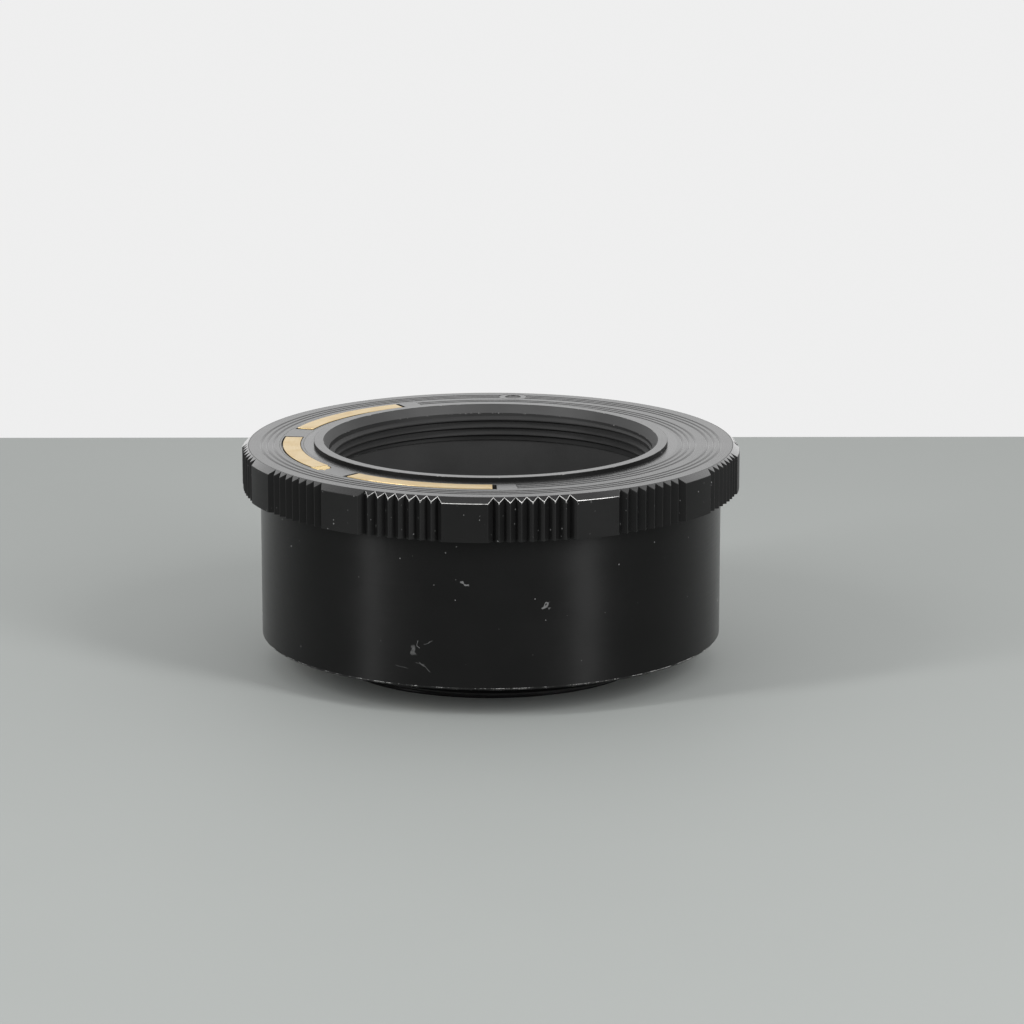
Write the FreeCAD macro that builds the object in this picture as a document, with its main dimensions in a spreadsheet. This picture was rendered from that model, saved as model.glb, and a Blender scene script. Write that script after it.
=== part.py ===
import FreeCAD, Part
import math
import os

import Sketcher
from FreeCAD import Placement, Rotation, Vector

# Macro extension tube for a 42 x 1 mm screw mount, with a sprung diaphragm release and three electric contacts.
# The tube stands on the end of its male thread: the origin is the centre of that foot, and +Z points to the lens.
# Angles run anticlockwise seen from the front; the index bead is at 90 degrees and the release rod at 270.

# Driving dimensions in millimetres and degrees
DRIVING = (
    ("thread_dia", 42.0, "screw mount, nominal"),
    ("thread_flank", 0.5, "screw mount, radial height of the thread"),
    ("body_length", 19.55, "barrel, rear flange to the underside of the rim"),
    ("barrel_wall", 1.9, "barrel, wall of the tube"),
    ("heel_chamfer", 0.25, "barrel, rear outer edge"),
    ("floor_thickness", 2.2, "barrel, rear flange"),
    ("floor_ledge", 3.9, "barrel, rear flange inside the bore of the male thread"),
    ("joint_wall", 1.1, "barrel, wall of the front thread that carries the front ring"),
    ("spigot_length", 3.25, "male thread, free end to the seat collar"),
    ("spigot_wall", 1.6, "male thread, wall under the crests"),
    ("spigot_chamfer", 0.5, "male thread, free end"),
    ("relief_width", 0.8, "male thread, run-out groove"),
    ("relief_depth", 0.7, "male thread, run-out groove"),
    ("seat_width", 1.4, "seat collar, beyond the male thread"),
    ("seat_height", 0.5, "seat collar above the rear flange"),
    ("seat_undercut_width", 0.1, "seat collar, recess beyond the male thread"),
    ("seat_undercut_depth", 0.2, "seat collar, recess at the run-out groove"),
    ("rim_overhang", 2.4, "front ring, beyond the barrel"),
    ("rim_height", 5.6, "front ring, underside to face"),
    ("rim_chamfer_width", 0.85, "front ring, chamfer of the face edge"),
    ("rim_chamfer_height", 0.68, "front ring, chamfer of the face edge"),
    ("web_thickness", 3.3, "front ring, thickness behind the face"),
    ("knurl_groups", 12, "front ring, groups of grip grooves"),
    ("knurl_grooves", 8, "front ring, grooves in a group"),
    ("knurl_pitch", 2.5, "front ring, angle from groove to groove"),
    ("knurl_phase", 0.3, "front ring, angle by which the grip is turned"),
    ("knurl_depth", 0.8, "front ring, depth of a groove"),
    ("knurl_land", 0.1, "front ring, flat left on each ridge"),
    ("inner_groove_inset", 0.9, "front face, first groove inside the contact circle"),
    ("outer_groove_margin", 1.7, "front face, last groove to the chamfer"),
    ("face_groove_pitch", 0.8, "front face, groove to groove"),
    ("face_groove_width", 0.4, "front face, groove"),
    ("face_groove_depth", 0.08, "front face, groove"),
    ("index_angle", 90.0, "index bead, place round the face"),
    ("bead_dia", 3.8, "index bead"),
    ("bead_height", 1.2, "index bead, let into the front ring"),
    ("dot_dia", 2.1, "index bead, sunk dot"),
    ("dot_depth", 0.17, "index bead, sunk dot"),
    ("lip_wall", 2.0, "front thread ring, raised lip beyond the thread"),
    ("lip_height", 0.5, "front thread ring, lip above the face"),
    ("funnel_flare", 0.75, "front thread ring, mouth of the funnel beyond the thread"),
    ("funnel_depth", 1.12, "front thread ring, lip to the foot of the first thread"),
    ("thread_start", 0.3, "front thread ring, height over which the first thread rises"),
    ("collar_width", 1.15, "front thread ring, collar beyond the lip"),
    ("collar_thickness", 1.0, "front thread ring, collar under the web"),
    ("collar_gap", 0.59, "front thread ring, collar to the tubes of the contact carrier"),
    ("sleeve_margin", 0.3, "inner sleeve, inside beyond the thread"),
    ("sleeve_wall", 0.8, "inner sleeve"),
    ("sleeve_seat_depth", 0.4, "inner sleeve, rebate in the rear flange"),
    ("contact_mid_angle", 200.5, "middle contact, place round the tube"),
    ("arc_span", 42.5, "contact arc, angle"),
    ("arc_gap_angle", 12.2, "angle from one contact arc to the next"),
    ("arc_width", 2.25, "contact arc"),
    ("arc_thickness", 0.5, "contact arc"),
    ("arc_recess", 0.06, "contact arc, below the face"),
    ("tongue_setback", 2.2, "side arc, angle by which the tongue makes it shorter"),
    ("tongue_length", 1.9, "side arc, tongue beyond its end"),
    ("tongue_narrowing", 0.15, "side arc, tongue narrower than the arc"),
    ("tongue_offset", 0.25, "side arc, tongue outside the middle of the arc"),
    ("tongue_drop", 0.12, "side arc, tongue below the top of the arc"),
    ("tongue_round", 1.0, "side arc, corners of the tongue"),
    ("tongue_root", 1.0, "side arc, tongue carried back into the arc"),
    ("carrier_margin", 0.42, "contact carrier, beside the arcs"),
    ("carrier_end", 6.7, "contact carrier, angle beyond the outer arcs"),
    ("carrier_thickness", 1.6, "contact carrier"),
    ("slot_side_gap", 0.15, "contact carrier, gap beside an arc"),
    ("slot_end_gap", 1.2, "contact carrier, angle left at each end of an arc"),
    ("boss_wall", 0.5, "contact carrier, tube round each rod"),
    ("boss_drop", 0.8, "contact carrier, tube below the web"),
    ("contact_rod_dia", 1.2, "contact rod"),
    ("plug_height", 1.4, "contact rod, plug in the bush"),
    ("bush_wall", 0.3, "contact bush"),
    ("bush_length", 7.2, "contact bush"),
    ("bush_lip", 0.9, "contact bush, lip that keeps the pin in"),
    ("bush_margin", 0.32, "contact bush, hole to the bore of the barrel"),
    ("pin_dia", 2.6, "contact pin"),
    ("pin_reach", 0.85, "contact pin, beyond the rear flange"),
    ("pin_dome", 1.05, "contact pin, rounding of the tip"),
    ("pin_collar_width", 0.2, "contact pin, collar beyond the shank"),
    ("pin_collar_height", 0.7, "contact pin, collar"),
    ("pin_nose_dia", 1.3, "contact pin, nose that centres the spring"),
    ("pin_nose_height", 0.8, "contact pin, nose that centres the spring"),
    ("contact_wire_dia", 0.3, "contact spring, wire"),
    ("contact_turns", 4, "contact spring, turns"),
    ("release_inset", 1.8, "release rod, axis inside the bore of the male thread"),
    ("release_angle", 270.0, "release rod, place round the tube"),
    ("release_rod_dia", 2.0, "release rod"),
    ("release_dome", 0.7, "release rod, rounding of the tip"),
    ("release_tip_gap", 0.4, "release rod, tip inside the foot"),
    ("release_collar_dia", 3.8, "release rod, collar"),
    ("release_collar_height", 1.0, "release rod, collar"),
    ("release_wire_dia", 0.4, "release spring, wire"),
    ("release_turns", 5, "release spring, turns"),
    ("guide_height", 8.0, "release guide, clear height under the bridge"),
    ("guide_sheet", 0.8, "release guide, sheet"),
    ("guide_width", 3.2, "release guide, width of the strip"),
    ("guide_margin", 0.26, "release guide, feet to the inner sleeve"),
    ("guide_foot", 3.2, "release guide, length of a foot"),
    ("guide_screw_dia", 1.4, "guide screws, shank"),
    ("guide_head_dia", 2.6, "guide screws, head"),
    ("guide_head_height", 0.9, "guide screws, head"),
    ("guide_screw_depth", 1.5, "guide screws, depth in the flange"),
    ("plate_inset", 1.9, "release plate, inner edge inside the rod's axis"),
    ("plate_margin", 0.7, "release plate, outer edge inside the crests of the thread"),
    ("plate_span", 60.0, "release plate, angle"),
    ("plate_thickness", 0.8, "release plate"),
    ("plate_corner", 0.9, "release plate, corner rounding"),
    ("plate_clear", 1.2, "release plate at rest, below the front thread ring"),
    ("plate_screw_dia", 1.0, "plate screw, shank"),
    ("plate_screw_depth", 2.2, "plate screw, depth in the rod"),
    ("plate_head_dia", 2.6, "plate screw, head"),
    ("plate_head_height", 0.7, "plate screw, head"),
    ("coil_runs", 12, "springs, straight runs in a turn"),
    ("wire_flats", 8, "springs, flats round the wire"),
    ("driver_slot_width", 0.4, "screw heads, driver slot"),
    ("driver_slot_depth", 0.35, "screw heads, driver slot"),
    ("fit_gap", 0.05, "radial gap of a piece that slides"),
    ("seat_gap", 0.03, "gap of a piece that is seated or screwed in"),
    ("stop_gap", 0.1, "gap under a collar that stops a sliding piece"),
)

# Sizes and places worked out from the driving dimensions
DERIVED = (
    ("thread_r", "thread_dia / 2"),
    ("crest_r", "thread_r - thread_flank"),
    ("lip_r", "thread_r + lip_wall"),
    ("collar_r", "lip_r + collar_width"),
    ("contact_r", "collar_r + collar_gap + boss_hole_r"),
    ("barrel_bore_r", "contact_r + bush_hole_r + bush_margin"),
    ("body_r", "barrel_bore_r + barrel_wall"),
    ("heel_r", "body_r - heel_chamfer"),
    ("joint_r", "barrel_bore_r + joint_wall"),
    ("spigot_bore_r", "thread_r - spigot_wall"),
    ("opening_r", "spigot_bore_r - floor_ledge"),
    ("spigot_tip_r", "thread_r - spigot_chamfer"),
    ("relief_r", "thread_r - relief_depth"),
    ("relief_z", "spigot_length - relief_width"),
    ("seat_r", "thread_r + seat_width"),
    ("undercut_r", "thread_r + seat_undercut_width"),
    ("undercut_z", "spigot_length + seat_undercut_depth"),
    ("flange_z", "spigot_length + seat_height"),
    ("heel_z", "flange_z + heel_chamfer"),
    ("floor_z", "flange_z + floor_thickness"),
    ("rim_z", "flange_z + body_length"),
    ("face_z", "rim_z + rim_height"),
    ("lip_z", "face_z + lip_height"),
    ("web_z", "face_z - web_thickness"),
    ("joint_z", "web_z - seat_gap"),
    ("rim_r", "body_r + rim_overhang"),
    ("rim_chamfer_z", "face_z - rim_chamfer_height"),
    ("rim_chamfer_r", "rim_r - rim_chamfer_width"),
    ("ring_joint_r", "joint_r + seat_gap"),
    ("ring_bore_r", "lip_r + seat_gap"),
    ("funnel_r", "thread_r + funnel_flare"),
    ("funnel_z", "lip_z - funnel_depth"),
    ("crest_z", "funnel_z - thread_start"),
    ("collar_z", "web_z - collar_thickness"),
    ("sleeve_r", "thread_r + sleeve_margin"),
    ("sleeve_outer_r", "sleeve_r + sleeve_wall"),
    ("rebate_z", "floor_z - sleeve_seat_depth"),
    ("rebate_inner_r", "sleeve_r - seat_gap"),
    ("rebate_outer_r", "sleeve_outer_r + seat_gap"),
    ("knurl_root_r", "rim_r - knurl_depth"),
    ("knurl_clear_r", "rim_r + knurl_depth"),
    ("knurl_half", "(rim_r * knurl_pitch * pi / 180 - knurl_land) / 2"),
    ("knurl_run", "knurl_pitch * (knurl_grooves - 1)"),
    ("knurl_start", "knurl_phase + 180 / knurl_groups - knurl_run / 2"),
    ("inner_groove_0", "contact_r - inner_groove_inset"),
    ("inner_groove_1", "inner_groove_0 + face_groove_pitch"),
    ("inner_groove_2", "inner_groove_1 + face_groove_pitch"),
    ("outer_groove_2", "rim_chamfer_r - outer_groove_margin"),
    ("outer_groove_1", "outer_groove_2 - face_groove_pitch"),
    ("outer_groove_0", "outer_groove_1 - face_groove_pitch"),
    ("face_groove_z", "face_z - face_groove_depth"),
    ("index_r", "outer_groove_1"),
    ("bead_r", "bead_dia / 2"),
    ("bead_z", "face_z - bead_height"),
    ("bead_hole_r", "bead_r + seat_gap"),
    ("bead_hole_z", "bead_z - seat_gap"),
    ("dot_r", "dot_dia / 2"),
    ("dot_z", "face_z - dot_depth"),
    ("contact_spacing", "arc_span + arc_gap_angle"),
    ("contact_back_angle", "contact_mid_angle - contact_spacing"),
    ("contact_side_angle", "contact_mid_angle"),
    ("contact_front_angle", "contact_mid_angle + contact_spacing"),
    ("contact_sweep", "2 * contact_spacing"),
    ("arc_inner_r", "contact_r - arc_width / 2"),
    ("arc_outer_r", "contact_r + arc_width / 2"),
    ("arc_z", "face_z - arc_recess"),
    ("slot_z", "arc_z - arc_thickness"),
    ("slot_inner_r", "arc_inner_r - slot_side_gap"),
    ("slot_outer_r", "arc_outer_r + slot_side_gap"),
    ("slot_span", "arc_span + 2 * slot_end_gap"),
    ("side_arc_span", "arc_span - tongue_setback"),
    ("side_slot_span", "slot_span - tongue_setback"),
    ("side_arc_turn", "-tongue_setback / 2"),
    ("side_slot_angle", "contact_side_angle + side_arc_turn"),
    ("tongue_turn", "arc_span / 2 - tongue_setback"),
    ("tongue_width", "arc_width - tongue_narrowing"),
    ("tongue_end_angle", "contact_side_angle + tongue_turn"),
    ("tongue_inner_r", "contact_r + tongue_offset - tongue_width / 2"),
    ("tongue_outer_r", "contact_r + tongue_offset + tongue_width / 2"),
    ("tongue_thickness", "arc_thickness - tongue_drop"),
    ("tongue_slot_inner_r", "tongue_inner_r - slot_side_gap"),
    ("tongue_slot_outer_r", "tongue_outer_r + slot_side_gap"),
    ("tongue_slot_length", "tongue_length + slot_side_gap"),
    ("carrier_inner_r", "arc_inner_r - carrier_margin"),
    ("carrier_outer_r", "arc_outer_r + carrier_margin"),
    ("carrier_z", "face_z - carrier_thickness"),
    ("carrier_span", "contact_sweep + arc_span + 2 * carrier_end"),
    ("pocket_inner_r", "carrier_inner_r - seat_gap"),
    ("pocket_outer_r", "carrier_outer_r + seat_gap"),
    ("pocket_span", "carrier_span + 2 * seat_gap / contact_r * 180 / pi"),
    ("contact_rod_r", "contact_rod_dia / 2"),
    ("rod_hole_r", "contact_rod_r + seat_gap"),
    ("boss_r", "rod_hole_r + boss_wall"),
    ("boss_hole_r", "boss_r + seat_gap"),
    ("boss_z", "web_z - boss_drop"),
    ("boss_length", "carrier_z - boss_z"),
    ("pin_r", "pin_dia / 2"),
    ("pin_tip_z", "flange_z - pin_reach"),
    ("pin_collar_r", "pin_r + pin_collar_width"),
    ("pin_collar_z", "bush_lip_z + stop_gap"),
    ("pin_shoulder_z", "pin_collar_z + pin_collar_height"),
    ("pin_nose_r", "pin_nose_dia / 2"),
    ("pin_nose_z", "pin_shoulder_z + pin_nose_height"),
    ("bush_lip_z", "flange_z + bush_lip"),
    ("bush_lip_r", "pin_r + fit_gap"),
    ("bush_bore_r", "pin_collar_r + fit_gap"),
    ("bush_r", "bush_bore_r + bush_wall"),
    ("bush_hole_r", "bush_r + seat_gap"),
    ("bush_z", "flange_z + bush_length"),
    ("plug_z", "bush_z - plug_height"),
    ("plug_r", "bush_bore_r - seat_gap"),
    ("contact_coil_r", "(pin_nose_r + bush_bore_r) / 2"),
    ("release_r", "spigot_bore_r - release_inset"),
    ("release_turn", "release_angle - 270"),
    ("release_rod_r", "release_rod_dia / 2"),
    ("release_hole_r", "release_rod_r + fit_gap"),
    ("release_collar_r", "release_collar_dia / 2"),
    ("release_collar_z", "floor_z + stop_gap"),
    ("release_shoulder_z", "release_collar_z + release_collar_height"),
    ("release_coil_r", "(release_rod_r + release_collar_r) / 2"),
    ("bridge_z", "floor_z + guide_height"),
    ("bridge_top_z", "bridge_z + guide_sheet"),
    ("guide_foot_z", "floor_z + guide_sheet"),
    ("guide_corner_r", "sleeve_r - guide_margin"),
    ("guide_corner_y", "release_r + guide_width / 2"),
    ("guide_foot_x", "sqrt(guide_corner_r ^ 2 - guide_corner_y ^ 2)"),
    ("guide_screw_x", "guide_foot_x - guide_foot / 2"),
    ("guide_leg_x", "guide_foot_x - guide_foot"),
    ("guide_inside_x", "guide_leg_x - guide_sheet"),
    ("guide_screw_r", "guide_screw_dia / 2"),
    ("guide_hole_r", "guide_screw_r + seat_gap"),
    ("guide_head_r", "guide_head_dia / 2"),
    ("guide_head_z", "guide_foot_z + guide_head_height"),
    ("guide_slot_z", "guide_head_z - driver_slot_depth"),
    ("guide_screw_z", "floor_z - guide_screw_depth"),
    ("guide_tapped_z", "guide_screw_z - stop_gap"),
    ("guide_tapped_depth", "guide_screw_depth + stop_gap"),
    ("plate_inner_r", "release_r - plate_inset"),
    ("plate_outer_r", "crest_r - plate_margin"),
    ("plate_top_z", "collar_z - plate_clear"),
    ("plate_z", "plate_top_z - plate_thickness"),
    ("plate_screw_r", "plate_screw_dia / 2"),
    ("plate_hole_r", "plate_screw_r + seat_gap"),
    ("plate_screw_z", "plate_z - plate_screw_depth"),
    ("plate_tapped_z", "plate_screw_z - stop_gap"),
    ("plate_head_r", "plate_head_dia / 2"),
    ("plate_head_z", "plate_top_z + plate_head_height"),
    ("plate_slot_z", "plate_head_z - driver_slot_depth"),
    ("driver_half", "driver_slot_width / 2"),
)

# Three contacts, in order round the tube; each has its own angle in the sheet
CONTACTS = ("back", "side", "front")
CONTACT_COUNT = len(CONTACTS)

# The first and the last contact have slots of the same length
END_COUNT = 2

# Circles of the fine grooves in the front face: three inner ones and three outer ones
FACE_GROOVES = [
    f"{group}_groove_{place}"
    for group in ("inner", "outer")
    for place in range(3)
]

# The release guide is screwed down on both sides of the rod: a minus sign mirrors a name in the sheet
SIDES = ("", "-")
PAIR = len(SIDES)

FULL_TURN = math.degrees(2 * math.pi)
MITRED = ("carried", "mitred", "rounded").index("mitred")
NEAR = 1e-4

# Points of a sketch's lines and circles, and its own axes and origin
START, END, CENTRE = range(1, 4)
H_AXIS, V_AXIS = range(-1, -3, -1)
ORIGIN = H_AXIS

doc = FreeCAD.newDocument("extension_tube")
sheet = doc.addObject("Spreadsheet::Sheet", "dims")


def fill_sheet():
    """Write the driving dimensions, then the sizes that follow from them, each under its own name."""
    row = 0
    for name, number, note in DRIVING:
        row += 1
        sheet.set(f"A{row}", note)
        sheet.set(f"B{row}", str(number))
        sheet.setAlias(f"B{row}", name)
    formulas = list(DERIVED)
    for groove in FACE_GROOVES:
        formulas.append((groove + "_inside", f"{groove} - face_groove_width / 2"))
        formulas.append((groove + "_outside", f"{groove} + face_groove_width / 2"))
    cells = {}
    for name, formula in formulas:
        row += 1
        cells[name] = f"B{row}"
        sheet.set(f"A{row}", name.replace("_", " "))
        sheet.setAlias(cells[name], name)
    for name, formula in formulas:
        sheet.set(cells[name], "=" + formula)
    doc.recompute()


def value(name):
    """Number under a name in the sheet; a leading minus sign negates it, and 0 stays 0."""
    if name == 0:
        return 0.0
    if name.startswith("-"):
        return -float(getattr(sheet, name[1:]))
    return float(getattr(sheet, name))


def new_body(label, angle=None, radius=None, turn=None):
    """Make a body, on the tube's axis or at a place round it."""
    body = doc.addObject("PartDesign::Body", label)
    body.Label = label
    if angle is not None:
        place(body, angle, radius, turn)
    return body


def place(piece, angle, radius=None, turn=None):
    """Bind a piece to an angle round the tube and a distance from the axis; it faces outwards unless turn says how."""
    facing = turn or angle
    if radius is not None:
        piece.setExpression("Placement.Base.x", f"dims.{radius} * cos(dims.{angle})")
        piece.setExpression("Placement.Base.y", f"dims.{radius} * sin(dims.{angle})")
    piece.Placement = Placement(piece.Placement.Base, Rotation(Vector(0, 0, 1), 1))
    piece.setExpression("Placement.Rotation.Angle", f"dims.{facing}")


def new_sketch(body, name, plane, height=None, turn=None, shift=None):
    """Attach a sketch to one of its body's own planes, lifted, turned about the axis or shifted sideways."""
    sketch = body.newObject("Sketcher::SketchObject", name)
    planes = {feature.Role: feature for feature in body.Origin.OriginFeatures}
    sketch.AttachmentSupport = [(planes[plane], "")]
    sketch.MapMode = "FlatFace"
    axis = Vector(0, 1, 0) if plane == "XZ_Plane" else Vector(0, 0, 1)
    if turn is not None:
        sketch.AttachmentOffset = Placement(Vector(0, 0, 0), Rotation(axis, value(turn)))
        sketch.setExpression("AttachmentOffset.Rotation.Angle", f"dims.{turn}")
    if height is not None:
        sketch.setExpression("AttachmentOffset.Base.z", f"dims.{height}")
    if shift is not None:
        sketch.setExpression("AttachmentOffset.Base.x", f"dims.{shift}")
    return sketch


def tie(sketch, edge, point, direction, name):
    """Tie one coordinate of a sketch point to a name in the sheet."""
    if name == 0:
        axis = V_AXIS if direction == "DistanceX" else H_AXIS
        sketch.addConstraint(Sketcher.Constraint("PointOnObject", edge, point, axis))
        return
    alias = name.lstrip("-")
    ends = (ORIGIN, START, edge, point)
    if name.startswith("-"):
        ends = (edge, point, ORIGIN, START)
    index = sketch.addConstraint(Sketcher.Constraint(direction, *ends, value(alias)))
    sketch.setExpression(f"Constraints[{index}]", f"dims.{alias}")


def outline(sketch, corners):
    """Draw a closed outline of straight lines; each corner is a pair of names in the sheet."""
    first = sketch.GeometryCount
    count = len(corners)
    points = [Vector(value(across), value(up), 0) for across, up in corners]
    lines = [Part.LineSegment(points[i], points[(i + 1) % count]) for i in range(count)]
    sketch.addGeometry(lines, False)
    joints = [
        Sketcher.Constraint("Coincident", first + i, END, first + (i + 1) % count, START)
        for i in range(count)
    ]
    sketch.addConstraint(joints)
    for i, (across, up) in enumerate(corners):
        tie(sketch, first + i, START, "DistanceX", across)
        tie(sketch, first + i, START, "DistanceY", up)


def circle(sketch, across, radius):
    """Draw a circle centred on the sketch's horizontal axis."""
    ring = sketch.addGeometry(Part.Circle(Vector(value(across), 0, 0), Vector(0, 0, 1), value(radius)), False)
    tie(sketch, ring, CENTRE, "DistanceX", across)
    tie(sketch, ring, CENTRE, "DistanceY", 0)
    index = sketch.addConstraint(Sketcher.Constraint("Radius", ring, value(radius)))
    sketch.setExpression(f"Constraints[{index}]", f"dims.{radius}")


def checked_cut(body, feature, before):
    """Stop if a cut took nothing away from its body."""
    doc.recompute()
    if before - feature.Shape.Volume < NEAR:
        raise RuntimeError(f"{body.Label}: {feature.Label} cuts nothing")
    return feature


def turned(body, name, corners, span=None, turn=None, shift=None):
    """Revolve an outline about the axis, all the way or over an angle centred on its own plane."""
    sketch = new_sketch(body, name + "_outline", "XZ_Plane", turn=turn, shift=shift)
    outline(sketch, corners)
    return revolve(body, name, sketch, "Revolution", span)


def revolve(body, name, sketch, kind, span):
    """Add or cut a revolved sketch."""
    feature = body.newObject("PartDesign::" + kind, name)
    feature.Profile = sketch
    feature.ReferenceAxis = (sketch, ["V_Axis"])
    feature.Angle = FULL_TURN
    if span is not None:
        feature.Midplane = True
        feature.setExpression("Angle", f"dims.{span}")
    doc.recompute()
    return feature


def ring_cut(body, name, outlines, span=None, turn=None):
    """Cut one or more revolved outlines."""
    before = body.Shape.Volume
    sketch = new_sketch(body, name + "_outline", "XZ_Plane", turn=turn)
    for corners in outlines:
        outline(sketch, corners)
    feature = revolve(body, name, sketch, "Groove", span)
    return checked_cut(body, feature, before)


def cut_up(body, name, sketch, length):
    """Cut a sketch upwards through its body."""
    before = body.Shape.Volume
    pocket = body.newObject("PartDesign::Pocket", name)
    pocket.Profile = sketch
    pocket.Reversed = True
    pocket.setExpression("Length", f"dims.{length}")
    return checked_cut(body, pocket, before)


def hole_up(body, name, across, radius, length, height=None, turn=None):
    """Cut a round hole upwards, centred on a radius of the tube."""
    sketch = new_sketch(body, name + "_circle", "XY_Plane", height=height, turn=turn)
    circle(sketch, across, radius)
    return cut_up(body, name, sketch, length)


def around(body, name, originals, sweep, count):
    """Repeat features about the axis over an angle."""
    pattern = body.newObject("PartDesign::PolarPattern", name)
    pattern.Originals = originals
    set_polar(body, pattern, sweep)
    pattern.Occurrences = count
    body.Tip = pattern
    doc.recompute()
    return pattern


def set_polar(body, pattern, sweep):
    """Give a pattern the tube's axis and the angle that its copies cover."""
    axes = {feature.Role: feature for feature in body.Origin.OriginFeatures}
    pattern.Axis = (axes["Z_Axis"], [""])
    pattern.Angle = FULL_TURN
    if sweep is not None:
        pattern.setExpression("Angle", f"dims.{sweep}")


def rounded(body, name, wanted, radius):
    """Round the edges of the body's last feature for which wanted(edge) holds."""
    base = body.Tip
    edges = [f"Edge{i + 1}" for i, edge in enumerate(base.Shape.Edges) if wanted(edge)]
    fillet = body.newObject("PartDesign::Fillet", name)
    fillet.Base = (base, edges)
    fillet.setExpression("Radius", f"dims.{radius}")
    doc.recompute()
    return fillet


def at_height(name):
    """Test for edges that lie at one height."""
    level = value(name)
    return lambda edge: abs(edge.BoundBox.ZMin - level) < NEAR and abs(edge.BoundBox.ZMax - level) < NEAR


def upright(radius):
    """Test for upright edges whose distance from the axis passes the given test."""
    def wanted(edge):
        start = edge.Vertexes[0].Point
        end = edge.Vertexes[-1].Point
        along_z = math.hypot(end.x - start.x, end.y - start.y) < NEAR and abs(end.z - start.z) > NEAR
        return along_z and radius(start)
    return wanted


def coil(label, low, high, mean, wire_dia, turns, angle, radius):
    """Wind a spring between two faces as a helix of short straight runs, mitred where they meet."""
    wire = value(wire_dia)
    gap = value("seat_gap")
    bottom = value(low) + wire / 2 + gap
    rise = value(high) - value(low) - wire - 2 * gap
    out = value(mean)
    runs = round(value("coil_runs") * value(turns))
    points = []
    for i in range(runs + 1):
        sweep = 2 * math.pi * i / value("coil_runs")
        points.append(Vector(out * math.cos(sweep), out * math.sin(sweep), bottom + rise * i / runs))
    path = Part.makePolygon(points)
    wire_end = Part.Circle(points[0], points[1] - points[0], wire / 2)
    section = Part.makePolygon(wire_end.discretize(round(value("wire_flats")) + 1))
    spring = doc.addObject("Part::Feature", label)
    spring.Label = label
    spring.Shape = path.makePipeShell([section], True, False, MITRED)
    place(spring, angle, radius)
    return spring


def build_barrel():
    """Turned tube with its rear flange, seat collar and male thread, drilled for the bushes and the rod."""
    body = new_body("barrel")
    turned(body, "turning", [
        ("spigot_bore_r", 0),
        ("spigot_tip_r", 0),
        ("thread_r", "spigot_chamfer"),
        ("thread_r", "relief_z"),
        ("relief_r", "relief_z"),
        ("relief_r", "undercut_z"),
        ("undercut_r", "undercut_z"),
        ("undercut_r", "spigot_length"),
        ("seat_r", "spigot_length"),
        ("seat_r", "flange_z"),
        ("heel_r", "flange_z"),
        ("body_r", "heel_z"),
        ("body_r", "rim_z"),
        ("joint_r", "rim_z"),
        ("joint_r", "joint_z"),
        ("barrel_bore_r", "joint_z"),
        ("barrel_bore_r", "floor_z"),
        ("rebate_outer_r", "floor_z"),
        ("rebate_outer_r", "rebate_z"),
        ("rebate_inner_r", "rebate_z"),
        ("rebate_inner_r", "floor_z"),
        ("opening_r", "floor_z"),
        ("opening_r", "flange_z"),
        ("spigot_bore_r", "flange_z"),
    ])
    bush = hole_up(body, "bush_hole", "contact_r", "bush_hole_r", "floor_z", turn="contact_back_angle")
    around(body, "bush_holes", [bush], "contact_sweep", CONTACT_COUNT)
    hole_up(body, "release_hole", "release_r", "release_hole_r", "floor_z", turn="release_angle")
    for side in SIDES:
        tapped_hole(body, side)
    return body


def tapped_hole(body, side):
    """Blind hole in the rear flange for one screw of the release guide."""
    sketch = new_sketch(body, "guide_hole_circle", "XY_Plane", height="guide_tapped_z", turn="release_turn")
    ring = sketch.addGeometry(
        Part.Circle(Vector(value(side + "guide_screw_x"), -value("release_r"), 0), Vector(0, 0, 1), 1), False)
    tie(sketch, ring, CENTRE, "DistanceX", side + "guide_screw_x")
    tie(sketch, ring, CENTRE, "DistanceY", "-release_r")
    index = sketch.addConstraint(Sketcher.Constraint("Radius", ring, value("guide_hole_r")))
    sketch.setExpression(f"Constraints[{index}]", "dims.guide_hole_r")
    cut_up(body, "guide_hole", sketch, "guide_tapped_depth")


def build_front_ring():
    """Knurled ring with the grooved face, the contact pocket, the rod holes and the hole of the index bead."""
    body = new_body("front_ring")
    turned(body, "turning", [
        ("ring_joint_r", "rim_z"),
        ("rim_r", "rim_z"),
        ("rim_r", "rim_chamfer_z"),
        ("rim_chamfer_r", "face_z"),
        ("ring_bore_r", "face_z"),
        ("ring_bore_r", "web_z"),
        ("ring_joint_r", "web_z"),
    ])
    ring_cut(body, "face_grooves", [face_groove(name) for name in FACE_GROOVES])
    ring_cut(body, "contact_pocket", [[
        ("pocket_inner_r", "carrier_z"),
        ("pocket_outer_r", "carrier_z"),
        ("pocket_outer_r", "lip_z"),
        ("pocket_inner_r", "lip_z"),
    ]], span="pocket_span", turn="contact_mid_angle")
    boss = hole_up(body, "boss_hole", "contact_r", "boss_hole_r", "lip_z", turn="contact_back_angle")
    around(body, "boss_holes", [boss], "contact_sweep", CONTACT_COUNT)
    hole_up(body, "bead_hole", "index_r", "bead_hole_r", "web_thickness", height="bead_hole_z", turn="index_angle")
    knurl(body)
    return body


def face_groove(name):
    """Outline of one V groove in the front face, open upwards."""
    return [
        (name, "face_groove_z"),
        (name + "_outside", "face_z"),
        (name + "_outside", "lip_z"),
        (name + "_inside", "lip_z"),
        (name + "_inside", "face_z"),
    ]


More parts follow.
